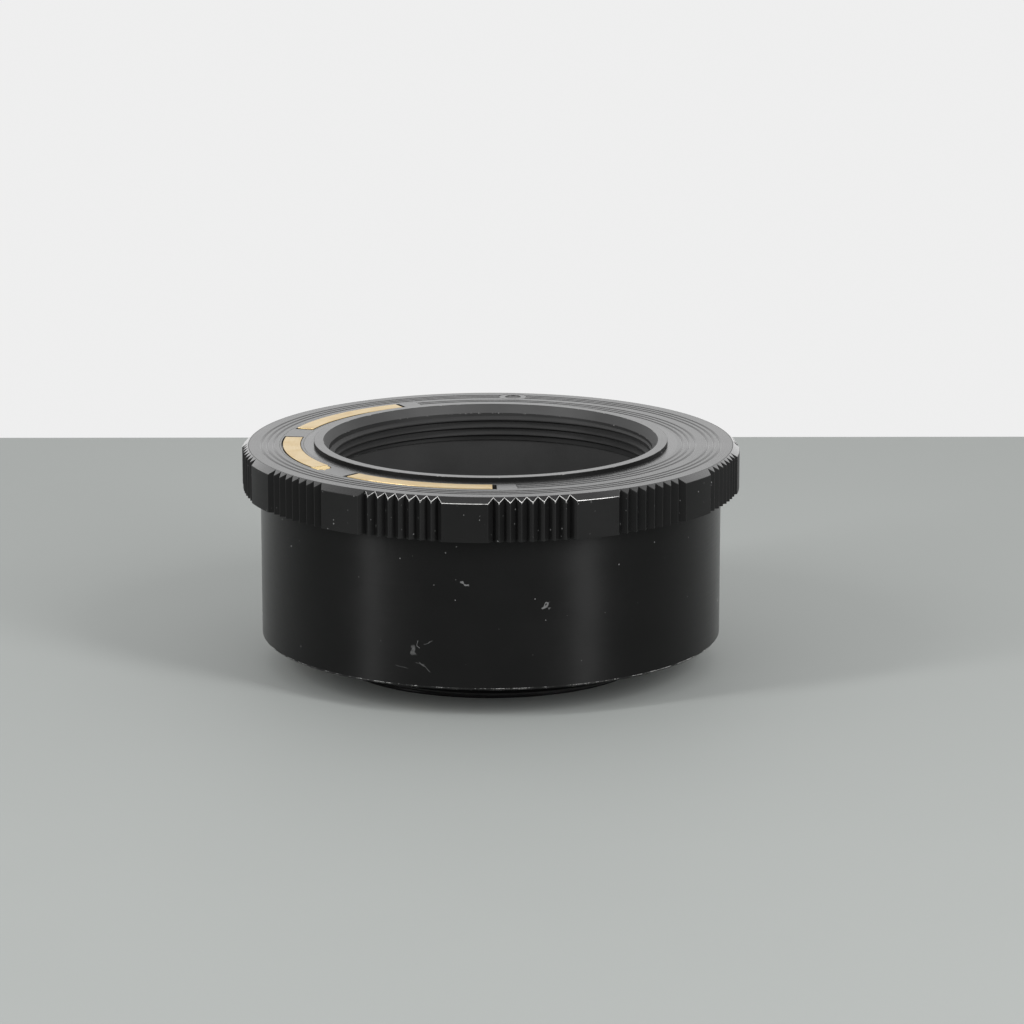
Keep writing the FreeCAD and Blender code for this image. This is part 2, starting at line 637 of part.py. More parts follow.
def knurl(body):
    """Cut one V groove down the rim, repeat it in a group and repeat the group round the ring."""
    sketch = new_sketch(body, "knurl_vee", "XY_Plane", turn="knurl_start")
    outline(sketch, [
        ("knurl_root_r", 0),
        ("rim_r", "knurl_half"),
        ("knurl_clear_r", "knurl_half"),
        ("knurl_clear_r", "-knurl_half"),
        ("rim_r", "-knurl_half"),
    ])
    groove = cut_up(body, "knurl_groove", sketch, "lip_z")
    whole = body.newObject("PartDesign::MultiTransform", "knurl")
    group = body.newObject("PartDesign::PolarPattern", "knurl_group")
    set_polar(body, group, "knurl_run")
    group.setExpression("Occurrences", "dims.knurl_grooves")
    ring = body.newObject("PartDesign::PolarPattern", "knurl_ring")
    set_polar(body, ring, None)
    ring.setExpression("Occurrences", "dims.knurl_groups")
    whole.Originals = [groove]
    whole.Transformations = [group, ring]
    body.Tip = whole
    doc.recompute()


def build_index_bead():
    """Smooth bead let into the front ring, with a sunk dot that marks the top of the tube."""
    body = new_body("index_bead", "index_angle", "index_r")
    turned(body, "turning", [
        (0, "bead_z"),
        ("bead_r", "bead_z"),
        ("bead_r", "face_z"),
        ("dot_r", "face_z"),
        ("dot_r", "dot_z"),
        (0, "dot_z"),
    ])
    return body


def build_front_thread_ring():
    """Bush with the raised lip, the funnel and the female thread; its collar bears on the web from behind."""
    body = new_body("front_thread_ring")
    turned(body, "turning", [
        ("crest_r", "collar_z"),
        ("collar_r", "collar_z"),
        ("collar_r", "web_z"),
        ("lip_r", "web_z"),
        ("lip_r", "lip_z"),
        ("funnel_r", "lip_z"),
        ("thread_r", "funnel_z"),
        ("crest_r", "crest_z"),
    ])
    return body


def build_inner_sleeve():
    """Light baffle held between the rear flange and the front thread ring."""
    body = new_body("inner_sleeve")
    turned(body, "turning", [
        ("sleeve_r", "rebate_z"),
        ("sleeve_outer_r", "rebate_z"),
        ("sleeve_outer_r", "collar_z"),
        ("sleeve_r", "collar_z"),
    ])
    return body


def build_contact_carrier():
    """Insulating segment with a slot for each arc and a tube round each rod."""
    body = new_body("contact_carrier")
    turned(body, "segment", [
        ("carrier_inner_r", "carrier_z"),
        ("carrier_outer_r", "carrier_z"),
        ("carrier_outer_r", "face_z"),
        ("carrier_inner_r", "face_z"),
    ], span="carrier_span", turn="contact_mid_angle")
    slot_section = [
        ("slot_inner_r", "slot_z"),
        ("slot_outer_r", "slot_z"),
        ("slot_outer_r", "lip_z"),
        ("slot_inner_r", "lip_z"),
    ]
    ring_cut(body, "side_slot", [slot_section], span="side_slot_span", turn="side_slot_angle")
    slot = ring_cut(body, "end_slot", [slot_section], span="slot_span", turn="contact_back_angle")
    around(body, "end_slots", [slot], "contact_sweep", END_COUNT)
    sketch = new_sketch(body, "boss_circle", "XY_Plane", height="boss_z", turn="contact_back_angle")
    circle(sketch, "contact_r", "boss_r")
    boss = body.newObject("PartDesign::Pad", "rod_boss")
    boss.Profile = sketch
    boss.setExpression("Length", "dims.boss_length")
    doc.recompute()
    hole = hole_up(body, "rod_hole", "contact_r", "rod_hole_r", "lip_z", turn="contact_back_angle")
    around(body, "contact_places", [boss, hole], "contact_sweep", CONTACT_COUNT)
    tongue = new_sketch(body, "tongue_slot_outline", "XY_Plane", height="slot_z", turn="tongue_end_angle")
    outline(tongue, [
        ("tongue_slot_inner_r", "-tongue_root"),
        ("tongue_slot_outer_r", "-tongue_root"),
        ("tongue_slot_outer_r", "tongue_slot_length"),
        ("tongue_slot_inner_r", "tongue_slot_length"),
    ])
    cut_up(body, "tongue_slot", tongue, "web_thickness")
    return body


def build_contact_arc(contact):
    """Gilt arc let into the carrier; the side arc ends in a rounded tongue that is bent down a little."""
    body = new_body(f"contact_arc_{contact}", f"contact_{contact}_angle")
    has_tongue = contact == "side"
    turned(body, "strip", [
        ("arc_inner_r", "slot_z"),
        ("arc_outer_r", "slot_z"),
        ("arc_outer_r", "arc_z"),
        ("arc_inner_r", "arc_z"),
    ], span="side_arc_span" if has_tongue else "arc_span", turn="side_arc_turn" if has_tongue else None)
    if has_tongue:
        sketch = new_sketch(body, "tongue_outline", "XY_Plane", height="slot_z", turn="tongue_turn")
        outline(sketch, [
            ("tongue_inner_r", "-tongue_root"),
            ("tongue_outer_r", "-tongue_root"),
            ("tongue_outer_r", "tongue_length"),
            ("tongue_inner_r", "tongue_length"),
        ])
        tongue = body.newObject("PartDesign::Pad", "tongue")
        tongue.Profile = sketch
        tongue.setExpression("Length", "dims.tongue_thickness")
        doc.recompute()
        end = math.radians(value("tongue_turn"))
        beyond = value("tongue_length") - NEAR
        past_end = upright(lambda point: point.y * math.cos(end) - point.x * math.sin(end) > beyond)
        rounded(body, "tongue_corners", past_end, "tongue_round")
    return body


def build_contact_rod(contact):
    """Brass rod soldered under the arc, with a plug that closes the bush and backs the spring."""
    body = new_body(f"contact_rod_{contact}", f"contact_{contact}_angle", "contact_r")
    turned(body, "turning", [
        (0, "plug_z"),
        ("plug_r", "plug_z"),
        ("plug_r", "bush_z"),
        ("contact_rod_r", "bush_z"),
        ("contact_rod_r", "slot_z"),
        (0, "slot_z"),
    ])
    return body


def build_contact_bush(contact):
    """Insulating bush pressed into the rear flange; its lip keeps the pin in."""
    body = new_body(f"contact_bush_{contact}", f"contact_{contact}_angle", "contact_r")
    turned(body, "turning", [
        ("bush_lip_r", "flange_z"),
        ("bush_r", "flange_z"),
        ("bush_r", "bush_z"),
        ("bush_bore_r", "bush_z"),
        ("bush_bore_r", "bush_lip_z"),
        ("bush_lip_r", "bush_lip_z"),
    ])
    return body


def build_contact_pin(contact):
    """Domed pin that slides in its bush; the nose behind the collar centres the spring."""
    body = new_body(f"contact_pin_{contact}", f"contact_{contact}_angle", "contact_r")
    turned(body, "turning", [
        (0, "pin_tip_z"),
        ("pin_r", "pin_tip_z"),
        ("pin_r", "pin_collar_z"),
        ("pin_collar_r", "pin_collar_z"),
        ("pin_collar_r", "pin_shoulder_z"),
        ("pin_nose_r", "pin_shoulder_z"),
        ("pin_nose_r", "pin_nose_z"),
        (0, "pin_nose_z"),
    ])
    rounded(body, "dome", at_height("pin_tip_z"), "pin_dome")
    return body


def build_contact_spring(contact):
    """Coil spring between the pin's shoulder and the plug of the rod."""
    return coil(
        f"contact_spring_{contact}", "pin_shoulder_z", "plug_z", "contact_coil_r", "contact_wire_dia",
        "contact_turns", f"contact_{contact}_angle", "contact_r")


def build_release_rod():
    """Push rod with a domed rear tip, a stop collar and a tapped front end."""
    body = new_body("release_rod", "release_angle", "release_r")
    turned(body, "turning", [
        (0, "release_tip_gap"),
        ("release_rod_r", "release_tip_gap"),
        ("release_rod_r", "release_collar_z"),
        ("release_collar_r", "release_collar_z"),
        ("release_collar_r", "release_shoulder_z"),
        ("release_rod_r", "release_shoulder_z"),
        ("release_rod_r", "plate_z"),
        ("plate_hole_r", "plate_z"),
        ("plate_hole_r", "plate_tapped_z"),
        (0, "plate_tapped_z"),
    ])
    rounded(body, "dome", at_height("release_tip_gap"), "release_dome")
    return body


def build_release_plate():
    """Curved plate on the front end of the push rod, which presses the lens's pin."""
    body = new_body("release_plate", "release_angle")
    turned(body, "strip", [
        ("plate_inner_r", "plate_z"),
        ("plate_outer_r", "plate_z"),
        ("plate_outer_r", "plate_top_z"),
        ("plate_inner_r", "plate_top_z"),
    ], span="plate_span")
    rounded(body, "corners", upright(lambda point: True), "plate_corner")
    hole_up(body, "screw_hole", "release_r", "plate_hole_r", "lip_z")
    return body


def build_release_plate_screw():
    """Slotted screw that holds the plate to the push rod."""
    body = new_body("release_plate_screw", "release_angle", "release_r")
    turned(body, "turning", [
        (0, "plate_screw_z"),
        ("plate_screw_r", "plate_screw_z"),
        ("plate_screw_r", "plate_top_z"),
        ("plate_head_r", "plate_top_z"),
        ("plate_head_r", "plate_head_z"),
        (0, "plate_head_z"),
    ])
    driver_slot(body, "plate_slot_z", "plate_head_r")
    return body


def driver_slot(body, height, reach, shift=None):
    """Cut the straight driver slot across a screw's head."""
    sketch = new_sketch(body, "driver_slot_outline", "XY_Plane", height=height, shift=shift)
    outline(sketch, [
        ("-driver_half", "-" + reach),
        ("driver_half", "-" + reach),
        ("driver_half", reach),
        ("-driver_half", reach),
    ])
    return cut_up(body, "driver_slot", sketch, "lip_z")


def build_release_spring():
    """Return spring between the rod's collar and the bridge."""
    return coil(
        "release_spring", "release_shoulder_z", "bridge_z", "release_coil_r", "release_wire_dia",
        "release_turns", "release_angle", "release_r")


def build_release_guide():
    """Folded strip with two feet; the rod slides in its bridge."""
    body = new_body("release_guide", "release_angle", "release_r", turn="release_turn")
    sketch = new_sketch(body, "strip_outline", "XZ_Plane")
    outline(sketch, [
        ("-guide_foot_x", "floor_z"),
        ("-guide_inside_x", "floor_z"),
        ("-guide_inside_x", "bridge_z"),
        ("guide_inside_x", "bridge_z"),
        ("guide_inside_x", "floor_z"),
        ("guide_foot_x", "floor_z"),
        ("guide_foot_x", "guide_foot_z"),
        ("guide_leg_x", "guide_foot_z"),
        ("guide_leg_x", "bridge_top_z"),
        ("-guide_leg_x", "bridge_top_z"),
        ("-guide_leg_x", "guide_foot_z"),
        ("-guide_foot_x", "guide_foot_z"),
    ])
    strip = body.newObject("PartDesign::Pad", "strip")
    strip.Profile = sketch
    strip.SideType = "Symmetric"
    strip.setExpression("Length", "dims.guide_width")
    doc.recompute()
    hole_up(body, "rod_hole", 0, "release_hole_r", "lip_z")
    screw = hole_up(body, "screw_hole", "guide_screw_x", "guide_hole_r", "lip_z")
    around(body, "screw_holes", [screw], None, PAIR)
    return body


def build_release_guide_screws():
    """The two slotted screws of the release guide."""
    body = new_body("release_guide_screws", "release_angle", "release_r", turn="release_turn")
    screw = turned(body, "turning", [
        (0, "guide_screw_z"),
        ("guide_screw_r", "guide_screw_z"),
        ("guide_screw_r", "guide_foot_z"),
        ("guide_head_r", "guide_foot_z"),
        ("guide_head_r", "guide_head_z"),
        (0, "guide_head_z"),
    ], shift="guide_screw_x")
    slot = driver_slot(body, "guide_slot_z", "guide_head_r", shift="guide_screw_x")
    around(body, "pair", [screw, slot], None, PAIR)
    return body


def build_all():
    """Build every piece of the tube, in the order of assembly."""
    pieces = [
        build_barrel(),
        build_front_ring(),
        build_index_bead(),
        build_front_thread_ring(),
        build_inner_sleeve(),
        build_contact_carrier(),
    ]
    for contact in CONTACTS:
        pieces.append(build_contact_arc(contact))
        pieces.append(build_contact_rod(contact))
        pieces.append(build_contact_bush(contact))
        pieces.append(build_contact_pin(contact))
        pieces.append(build_contact_spring(contact))
    pieces.append(build_release_rod())
    pieces.append(build_release_plate())
    pieces.append(build_release_plate_screw())
    pieces.append(build_release_spring())
    pieces.append(build_release_guide())
    pieces.append(build_release_guide_screws())
    return pieces


def check_document(pieces):
    """Stop if any object failed or any piece has no sound solid."""
    doc.recompute()
    for item in doc.Objects:
        if "Invalid" in item.State or "Error" in item.State:
            raise RuntimeError(f"{item.Label} failed: {item.State}")
    for piece in pieces:
        if piece.Shape.isNull() or not piece.Shape.isValid() or not piece.Shape.Solids:
            raise RuntimeError(f"{piece.Label} has no valid solid")


def write_parts(pieces):
    """Write each piece to a file of its own name."""
    os.makedirs("parts", exist_ok=True)
    for piece in pieces:
        piece.Shape.exportStep(f"parts/{piece.Label}.step")
        print(f"{piece.Label}: {len(piece.Shape.Solids)} solid, {piece.Shape.Volume:.2f} mm3")


fill_sheet()
tube = build_all()
check_document(tube)
write_parts(tube)
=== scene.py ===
"""Dressed model of a macro extension tube with a knurled front ring, three contacts and a sprung release."""
import logging
import math
from collections.abc import Callable, Mapping, Sequence
from dataclasses import dataclass, field
from enum import Enum, IntEnum
from typing import Any, Union

import bmesh
import bpy
from mathutils import Matrix, Vector


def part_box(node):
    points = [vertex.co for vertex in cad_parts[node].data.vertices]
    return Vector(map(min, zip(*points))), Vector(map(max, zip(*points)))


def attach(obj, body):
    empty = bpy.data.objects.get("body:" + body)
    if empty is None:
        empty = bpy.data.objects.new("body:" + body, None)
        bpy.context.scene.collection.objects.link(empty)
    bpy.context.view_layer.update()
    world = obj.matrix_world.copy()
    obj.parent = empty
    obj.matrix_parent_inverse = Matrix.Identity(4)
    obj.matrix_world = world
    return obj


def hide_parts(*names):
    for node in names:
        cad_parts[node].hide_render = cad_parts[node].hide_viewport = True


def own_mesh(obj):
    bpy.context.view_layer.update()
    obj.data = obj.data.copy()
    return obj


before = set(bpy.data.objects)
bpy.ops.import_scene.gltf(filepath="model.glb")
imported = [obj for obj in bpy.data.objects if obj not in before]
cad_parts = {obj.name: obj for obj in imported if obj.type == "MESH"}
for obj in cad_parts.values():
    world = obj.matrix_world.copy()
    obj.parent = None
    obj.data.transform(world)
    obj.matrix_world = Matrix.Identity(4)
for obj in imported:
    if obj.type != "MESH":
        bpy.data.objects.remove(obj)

log = logging.getLogger("extension_tube")

Material = bpy.types.Material
Piece = bpy.types.Object
Point = tuple[float, float]
Colour = tuple[float, float, float, float]
Value = Union["Sock", float, int, tuple, str, Material]

MM = 0.001
TAU = 2 * math.pi
WELD = 1e-4  # points closer than this are one point, in millimetres
CUT_MARGIN = 1.0  # reach of a cutter beyond the piece that it cuts
ROOT_OVERLAP = 0.02  # reach of a thread ridge into the wall that carries it
SLEEVE_WALL = 0.8
SHARP = 40.0  # least angle of the edges that small parts have rounded, in degrees

# Upward share of a face's normal that tells walls, slopes and flats apart
WALL = 0.3
SLOPE = 0.5
FLAT = 0.95


class Body(Enum):
    """Bodies of the frame that pieces ride on."""

    TUBE = "tube"
    RELEASE = "release"
    PIN_BACK = "pin_back"
    PIN_SIDE = "pin_side"
    PIN_FRONT = "pin_front"


class Place(Enum):
    """The three contacts, in order round the tube."""

    BACK = "back"
    SIDE = "side"
    FRONT = "front"


class Section(Enum):
    """Cross-sections that a helix can carry."""

    WIRE = "wire"
    RIDGE = "ridge"


class Facets(IntEnum):
    """Columns round a turned piece, by its size."""

    TUBE = 256
    FACE = 240
    BEAD = 64
    PIN = 48
    SCREW = 40
    ROD = 32


# Node graphs


class Sock:
    """A socket of a node graph; arithmetic on it adds Math nodes."""

    def __init__(self, graph: "Graph", socket: bpy.types.NodeSocket) -> None:
        """Keep the socket and the graph that it is in."""
        self.graph = graph
        self.socket = socket

    def math(self, operation: str, *others: Value, first: Value | None = None) -> "Sock":
        """Result of a Math node; the reflected forms put an operand first, before this socket."""
        operands = [self, *others] if first is None else [first, self, *others]
        return self.graph.node("ShaderNodeMath", {"operation": operation}, dict(enumerate(operands)))

    def __add__(self, other: Value) -> "Sock":
        """Sum."""
        return self.math("ADD", other)

    def __sub__(self, other: Value) -> "Sock":
        """Difference."""
        return self.math("SUBTRACT", other)

    def __rsub__(self, other: Value) -> "Sock":
        """Difference, reflected."""
        return self.math("SUBTRACT", first=other)

    def __mul__(self, other: Value) -> "Sock":
        """Product."""
        return self.math("MULTIPLY", other)

    def __truediv__(self, other: Value) -> "Sock":
        """Quotient."""
        return self.math("DIVIDE", other)

    def __rtruediv__(self, other: Value) -> "Sock":
        """Quotient, reflected."""
        return self.math("DIVIDE", first=other)

    __radd__ = __add__
    __rmul__ = __mul__

    def over(self, edge: float, softness: float) -> "Sock":
        """Mask that rises smoothly from 0 to 1 where this value passes an edge, over a width."""
        limits = {"Value": self, "From Min": edge - softness / 2, "From Max": edge + softness / 2}
        return self.graph.node("ShaderNodeMapRange", {"interpolation_type": "SMOOTHSTEP"}, limits)

    def under(self, edge: float, softness: float) -> "Sock":
        """Mask that is 1 below an edge."""
        return 1 - self.over(edge, softness)


class Graph:
    """A node tree with one method that adds any node."""

    def __init__(self, tree: bpy.types.NodeTree) -> None:
        """Keep the tree and empty it."""
        self.tree = tree
        self.tree.nodes.clear()

    def node(
        self,
        kind: str,
        settings: Mapping[str, Any] | None = None,
        sockets: Mapping[str | int, Value] | None = None,
        output: str | int = 0,
    ) -> Sock:
        """Add a node.

        Args:
            kind: Type of the node.
            settings: Properties of the node, set before its sockets.
            sockets: Values or links of its inputs, by name or place among the enabled ones.
            output: Output to return, by name or place among the enabled ones.

        Returns:
            The wanted output.
        """
        made = self.tree.nodes.new(kind)
        for name, setting in (settings or {}).items():
            setattr(made, name, setting)
        enabled = [socket for socket in made.inputs if socket.enabled]
        for key, value in (sockets or {}).items():
            target = self._pick(enabled, key)
            if isinstance(value, Sock):
                self.tree.links.new(value.socket, target)
            else:
                target.default_value = value
        outputs = [socket for socket in made.outputs if socket.enabled]
        return Sock(self, self._pick(outputs, output) if outputs else made.inputs[0])

    def part(self, vector: Sock, axis: str) -> Sock:
        """One coordinate of a vector."""
        return self.node("ShaderNodeSeparateXYZ", sockets={"Vector": vector}, output=axis)

    @staticmethod
    def _pick(sockets: Sequence[bpy.types.NodeSocket], key: str | int) -> bpy.types.NodeSocket:
        """Find a socket by its place or its name."""
        return sockets[key] if isinstance(key, int) else next(s for s in sockets if s.name == key)


class Shading(Graph):
    """Nodes of one material, with the patterns that the finishes share. Lengths are in millimetres."""

    def __init__(self, name: str) -> None:
        """Make the material and read Object coordinates."""
        self.material = bpy.data.materials.new(name)
        self.material.use_nodes = True
        super().__init__(self.material.node_tree)
        metre_place = self.node("ShaderNodeTexCoord", output="Object")
        self.place = self.scaled(metre_place, 1 / MM)
        self.x, self.y, self.z = (self.part(self.place, axis) for axis in "XYZ")
        self.radius = (self.x * self.x + self.y * self.y).math("SQRT")
        self.angle = self.y.math("ARCTAN2", self.x)

    def scaled(self, vector: Value, factor: float) -> Sock:
        """A vector times a number."""
        return self.node("ShaderNodeVectorMath", {"operation": "SCALE"}, {0: vector, "Scale": factor})

    def moved(self, vector: Value, shift: Value) -> Sock:
        """A vector plus another."""
        return self.node("ShaderNodeVectorMath", {"operation": "ADD"}, {0: vector, 1: shift})

    def noise(self, size: float, detail: float = 2.0, seed: float = 0.0) -> Sock:
        """Noise from 0 to 1 with patches of a size; the seed makes one noise differ from another."""
        shifted = self.moved(self.place, (seed, seed, seed))
        return self.node("ShaderNodeTexNoise", sockets={"Vector": shifted, "Scale": 1 / size, "Detail": detail})

    def turned_lines(self, along: Sock, pitch: float, seed: float = 0.0) -> Sock:
        """Fine uneven lines left by a lathe tool, from 0 to 1.

        Args:
            along: Coordinate across the lines.
            pitch: Distance between them.
            seed: Shift of the pattern.

        Returns:
            The lines.
        """
        drift = 0.35  # change of the lines round the axis
        across = self.node("ShaderNodeCombineXYZ", sockets={"X": along, "Y": self.angle * drift, "Z": seed})
        return self.node("ShaderNodeTexNoise", sockets={
            "Vector": across, "Scale": 1 / pitch, "Detail": 3.0, "Roughness": 0.7})

    def specks(self, spacing: float, largest: float, share: float, seed: float = 0.0) -> Sock:
        """Scattered specks of dust.

        Args:
            spacing: Distance between the places where a speck may lie.
            largest: Radius of the largest speck.
            share: Share of the places that have one.
            seed: Shift of the pattern.

        Returns:
            Mask of the specks.
        """
        edge_softness = 0.2
        waver = self.node("ShaderNodeTexNoise", sockets={"Vector": self.place, "Scale": 1 / largest}, output="Color")
        shifted = self.moved(self.moved(self.place, self.scaled(waver, largest)), (seed, seed, seed))
        cells = {"Vector": shifted, "Scale": 1 / spacing}
        distance = self.node("ShaderNodeTexVoronoi", sockets=cells, output="Distance")
        chance = self.part(self.node("ShaderNodeTexVoronoi", sockets=cells, output="Color"), "X")
        room = (chance - (1 - share)) / share * (largest / spacing)
        return (room - distance).over(0.0, edge_softness * largest / spacing)

    def blend(self, mask: Sock, below: Value, above: Value) -> Sock:
        """Mix of two colours, the first where the mask is 0."""
        sockets = {"Factor": mask, "A": below, "B": above}
        return self.node("ShaderNodeMix", {"data_type": "RGBA"}, sockets, output="Result")

    def bump(self, height: Value, depth: float, under: Sock | None = None) -> Sock:
        """Normal of the relief that a pattern gives to a surface, on top of another relief."""
        lower = {} if under is None else {"Normal": under}
        return self.node("ShaderNodeBump", sockets={"Height": height, "Distance": depth * MM, **lower})

    def close(self, sockets: Mapping[str | int, Value]) -> Material:
        """Add the surface shader.

        Args:
            sockets: Values and links of the Principled shader.

        Returns:
            The finished material.
        """
        surface = self.node("ShaderNodeBsdfPrincipled", sockets=sockets)
        self.node("ShaderNodeOutputMaterial", {"is_active_output": True}, {"Surface": surface})
        return self.material


# Finishes


def grey(level: float) -> Colour:
    """Neutral colour."""
    return (level, level, level, 1.0)


DUST = grey(0.3)


@dataclass(frozen=True)
class Mark:
    """A small scuff on a turned wall: its angle in degrees, height, size, lean and strength."""

    angle: float
    height: float
    width: float
    length: float
    lean: float
    strength: float


@dataclass(frozen=True)
class Anodised:
    """Black anodised turned metal with tool lines, dust, fibres and scuffs."""

    name: str
    level: float = 0.008
    roughness: float = 0.36
    specular: float = 0.3
    coat: float = 0.0
    anisotropy: float = 0.0
    tool_pitch: float = 0.12
    tool_depth: float = 0.004
    faced: bool = False
    dust: float = 0.1
    dust_size: float = 0.08
    dust_pitch: float = 1.4
    marks: tuple[Mark, ...] = ()
    seed: float = 0.0
    patch_size: float = 6.0
    patch_tones: Point = (0.7, 1.35)
    coarse_pitch: float = 4.3
    coarse_growth: float = 1.8
    fibre_bend: float = 1.3
    fibre_width: float = 0.014
    fibre_softness: float = 0.012
    fibre_pitch: float = 5.2
    fibre_reach: float = 0.8
    fibre_strength: float = 0.4
    grain_size: float = 0.09
    grain_depth: float = 0.0012
    scuff_waver: float = 0.9

    def material(self) -> Material:
        """Build the nodes."""
        s = Shading(self.name)
        tool = s.turned_lines(s.radius if self.faced else s.z, self.tool_pitch, self.seed)
        patches = s.noise(self.patch_size, 3.0, seed=self.seed)
        fine = s.specks(self.dust_pitch, self.dust_size, self.dust, self.seed)
        coarse = s.specks(self.coarse_pitch, self.dust_size * self.coarse_growth, self.dust, self.seed + 5)
        dust = fine.math("MAXIMUM", coarse)
        bend = (s.noise(self.fibre_bend, 1.0, seed=self.seed + 2) - 0.5).math("ABSOLUTE")
        fibres = bend.under(self.fibre_width, self.fibre_softness) * s.specks(
            self.fibre_pitch, self.fibre_reach, self.dust, self.seed + 9)
        dark, light = (grey(self.level * tone) for tone in self.patch_tones)
        black = s.blend(patches, dark, light)
        soiled = s.blend(fibres * self.fibre_strength + self._scuffs(s), black, DUST)
        dusty = s.blend(dust * s.noise(0.9, 1.0, seed=self.seed + 4), soiled, DUST)
        rough = self.roughness + (patches - 0.5) * 0.12 + (tool - 0.5) * 0.1 + dust * 0.4
        grain = s.noise(self.grain_size, 2.0, seed=self.seed)
        return s.close({
            "Base Color": dusty, "Roughness": rough,
            "Normal": s.bump(grain, self.grain_depth, s.bump(tool, self.tool_depth)),
            "Specular IOR Level": self.specular, "Coat Weight": self.coat, "Coat Roughness": 0.2,
            "Anisotropic": self.anisotropy, "Anisotropic Rotation": 0.25})

    def _scuffs(self, s: Shading) -> Sock | float:
        """Mask of the scuffs.

        Args:
            s: Nodes of the material.

        Returns:
            The mask, or zero where there are no scuffs.
        """
        mask: Sock | float = 0.0
        if not self.marks:
            return mask
        waver = (s.noise(self.scuff_waver, 1.0) - 0.5) * self.scuff_waver
        for mark in self.marks:
            along = (s.angle - math.radians(mark.angle)) * s.radius + waver
            above = s.z - mark.height
            cos, sin = math.cos(math.radians(mark.lean)), math.sin(math.radians(mark.lean))
            across = (along * cos + above * sin).math("ABSOLUTE")
            up = (above * cos - along * sin).math("ABSOLUTE")
            inside = across.under(mark.width / 2, 0.12) * up.under(mark.length / 2, 0.3)
            mask = inside * (s.noise(0.35, 2.0, seed=mark.lean) * mark.strength) + mask
        return mask


@dataclass(frozen=True)
class WearAndGlintEdge:
    """Edge of black anodised metal, rubbed through to the metal by handling, and painted brighter than that as a
    painted highlight along the edge.
    """

    name: str
    bare_and_glint: Colour = (0.82, 0.81, 0.79, 1.0)
    dull: Colour = grey(0.45)
    black: Colour = grey(0.008)
    wear_and_glint_share: float = 0.5
    patch: float = 1.6
    crest: float | None = None
    crest_reach: float = 0.3
    crest_gain: float = 0.3
    glint_lobes: int = 0
    # Angle of the lobe that faces the camera: the edges are kept bright in lobes round the axis as a painted
    # highlight.
    glint_angle: float = math.radians(-84.0)
    glint_gain: float = 0.4
    seed: float = 3.0

    def material(self) -> Material:
        """Build the nodes."""
        s = Shading(self.name)
        broad = s.noise(self.patch * 4, 2.0, seed=self.seed)
        fine = s.noise(self.patch * 0.3, 3.0, seed=self.seed + 1)
        chance = broad * 0.5 + fine * 0.5
        if self.crest is not None:
            chance = chance + s.z.over(self.crest - self.crest_reach / 2, self.crest_reach) * self.crest_gain
        # Edges stay bright in lobes round the axis, one facing the camera, and dimmer between them: painted
        # highlight.
        if self.glint_lobes:
            glint = ((s.angle - self.glint_angle) * self.glint_lobes).math("COSINE").over(0.0, 0.35)
            chance = chance - (1 - glint) * self.glint_gain
        # Mask of the bright edge: rubbed metal and painted highlight together.
        wear_and_glint = chance.over(1 - self.wear_and_glint_share, 0.14)
        return s.close({
            "Base Color": s.blend(wear_and_glint, self.black, s.blend(fine, self.dull, self.bare_and_glint)),
            "Metallic": wear_and_glint * 0.35, "Roughness": 0.5 - wear_and_glint * 0.1,
            "Specular IOR Level": 0.3, "Normal": s.bump(fine, 0.004)})


@dataclass(frozen=True)
class Baffled:
    """Dull black paint on the inside of the tube, which kills reflections."""

    name: str
    level: float = 0.032
    tones: Point = (0.75, 1.3)
    roughness: float = 0.66

    def material(self) -> Material:
        """Build the nodes."""
        s = Shading(self.name)
        grain = s.noise(0.15, 3.0)
        dark, light = (grey(self.level * tone) for tone in self.tones)
        paint = s.blend(s.noise(5.0, 3.0, seed=4), dark, light)
        return s.close({
            "Base Color": s.blend(s.specks(2.4, 0.12, 0.12, 2) * 0.5, paint, grey(0.4)),
            "Roughness": self.roughness + grain * 0.2, "Specular IOR Level": 0.3, "Normal": s.bump(grain, 0.012)})


@dataclass(frozen=True)
class Gilt:
    """Gilt contact metal, brushed in rings about its axis and tarnished in places."""

    name: str
    colour: Colour = (0.76, 0.59, 0.32, 1.0)
    deep: Colour = (0.60, 0.42, 0.18, 1.0)
    spot: Colour = (0.2, 0.13, 0.06, 1.0)
    roughness: float = 0.3
    line_pitch: float = 0.07
    centre: Point = (0.0, 0.0)

    def material(self) -> Material:
        """Build the nodes."""
        s = Shading(self.name)
        off_x = s.x - self.centre[0]
        off_y = s.y - self.centre[1]
        lines = s.turned_lines((off_x * off_x + off_y * off_y).math("SQRT"), self.line_pitch)
        tarnish = s.noise(2.2, 4.0, seed=9).over(0.55, 0.35)
        spots = s.specks(1.3, 0.09, 0.16, 5)
        brushed = s.blend(lines.over(0.5, 0.5) * 0.45, self.colour, self.deep)
        return s.close({
            "Base Color": s.blend(spots * 0.7, s.blend(tarnish * 0.4, brushed, self.deep), self.spot),
            "Metallic": 1 - spots * 0.4, "Roughness": self.roughness + (lines - 0.5) * 0.2 + tarnish * 0.08,
            "Normal": s.bump(s.noise(0.5, 2.0), 0.006, s.bump(lines, 0.006))})


@dataclass(frozen=True)
class Moulded:
    """Moulded insulating plastic with a faint grain."""

    name: str
    colour: Colour = grey(0.016)
    roughness: float = 0.42
    coat: float = 0.0
    grain: float = 0.12
    lightest: float = 1.5

    def material(self) -> Material:
        """Build the nodes."""
        s = Shading(self.name)
        grain = s.noise(self.grain, 3.0)
        lighter = tuple(min(1.0, c * self.lightest) for c in self.colour[:3]) + (1.0,)
        flow = s.blend(s.noise(3.5, 2.0, seed=6), self.colour, lighter)
        return s.close({
            "Base Color": s.blend(s.specks(1.1, 0.07, 0.08, 8) * 0.6, flow, grey(0.5)),
            "Roughness": self.roughness + (grain - 0.5) * 0.14,
            "Coat Weight": self.coat, "Coat Roughness": 0.25, "Normal": s.bump(grain, 0.006)})


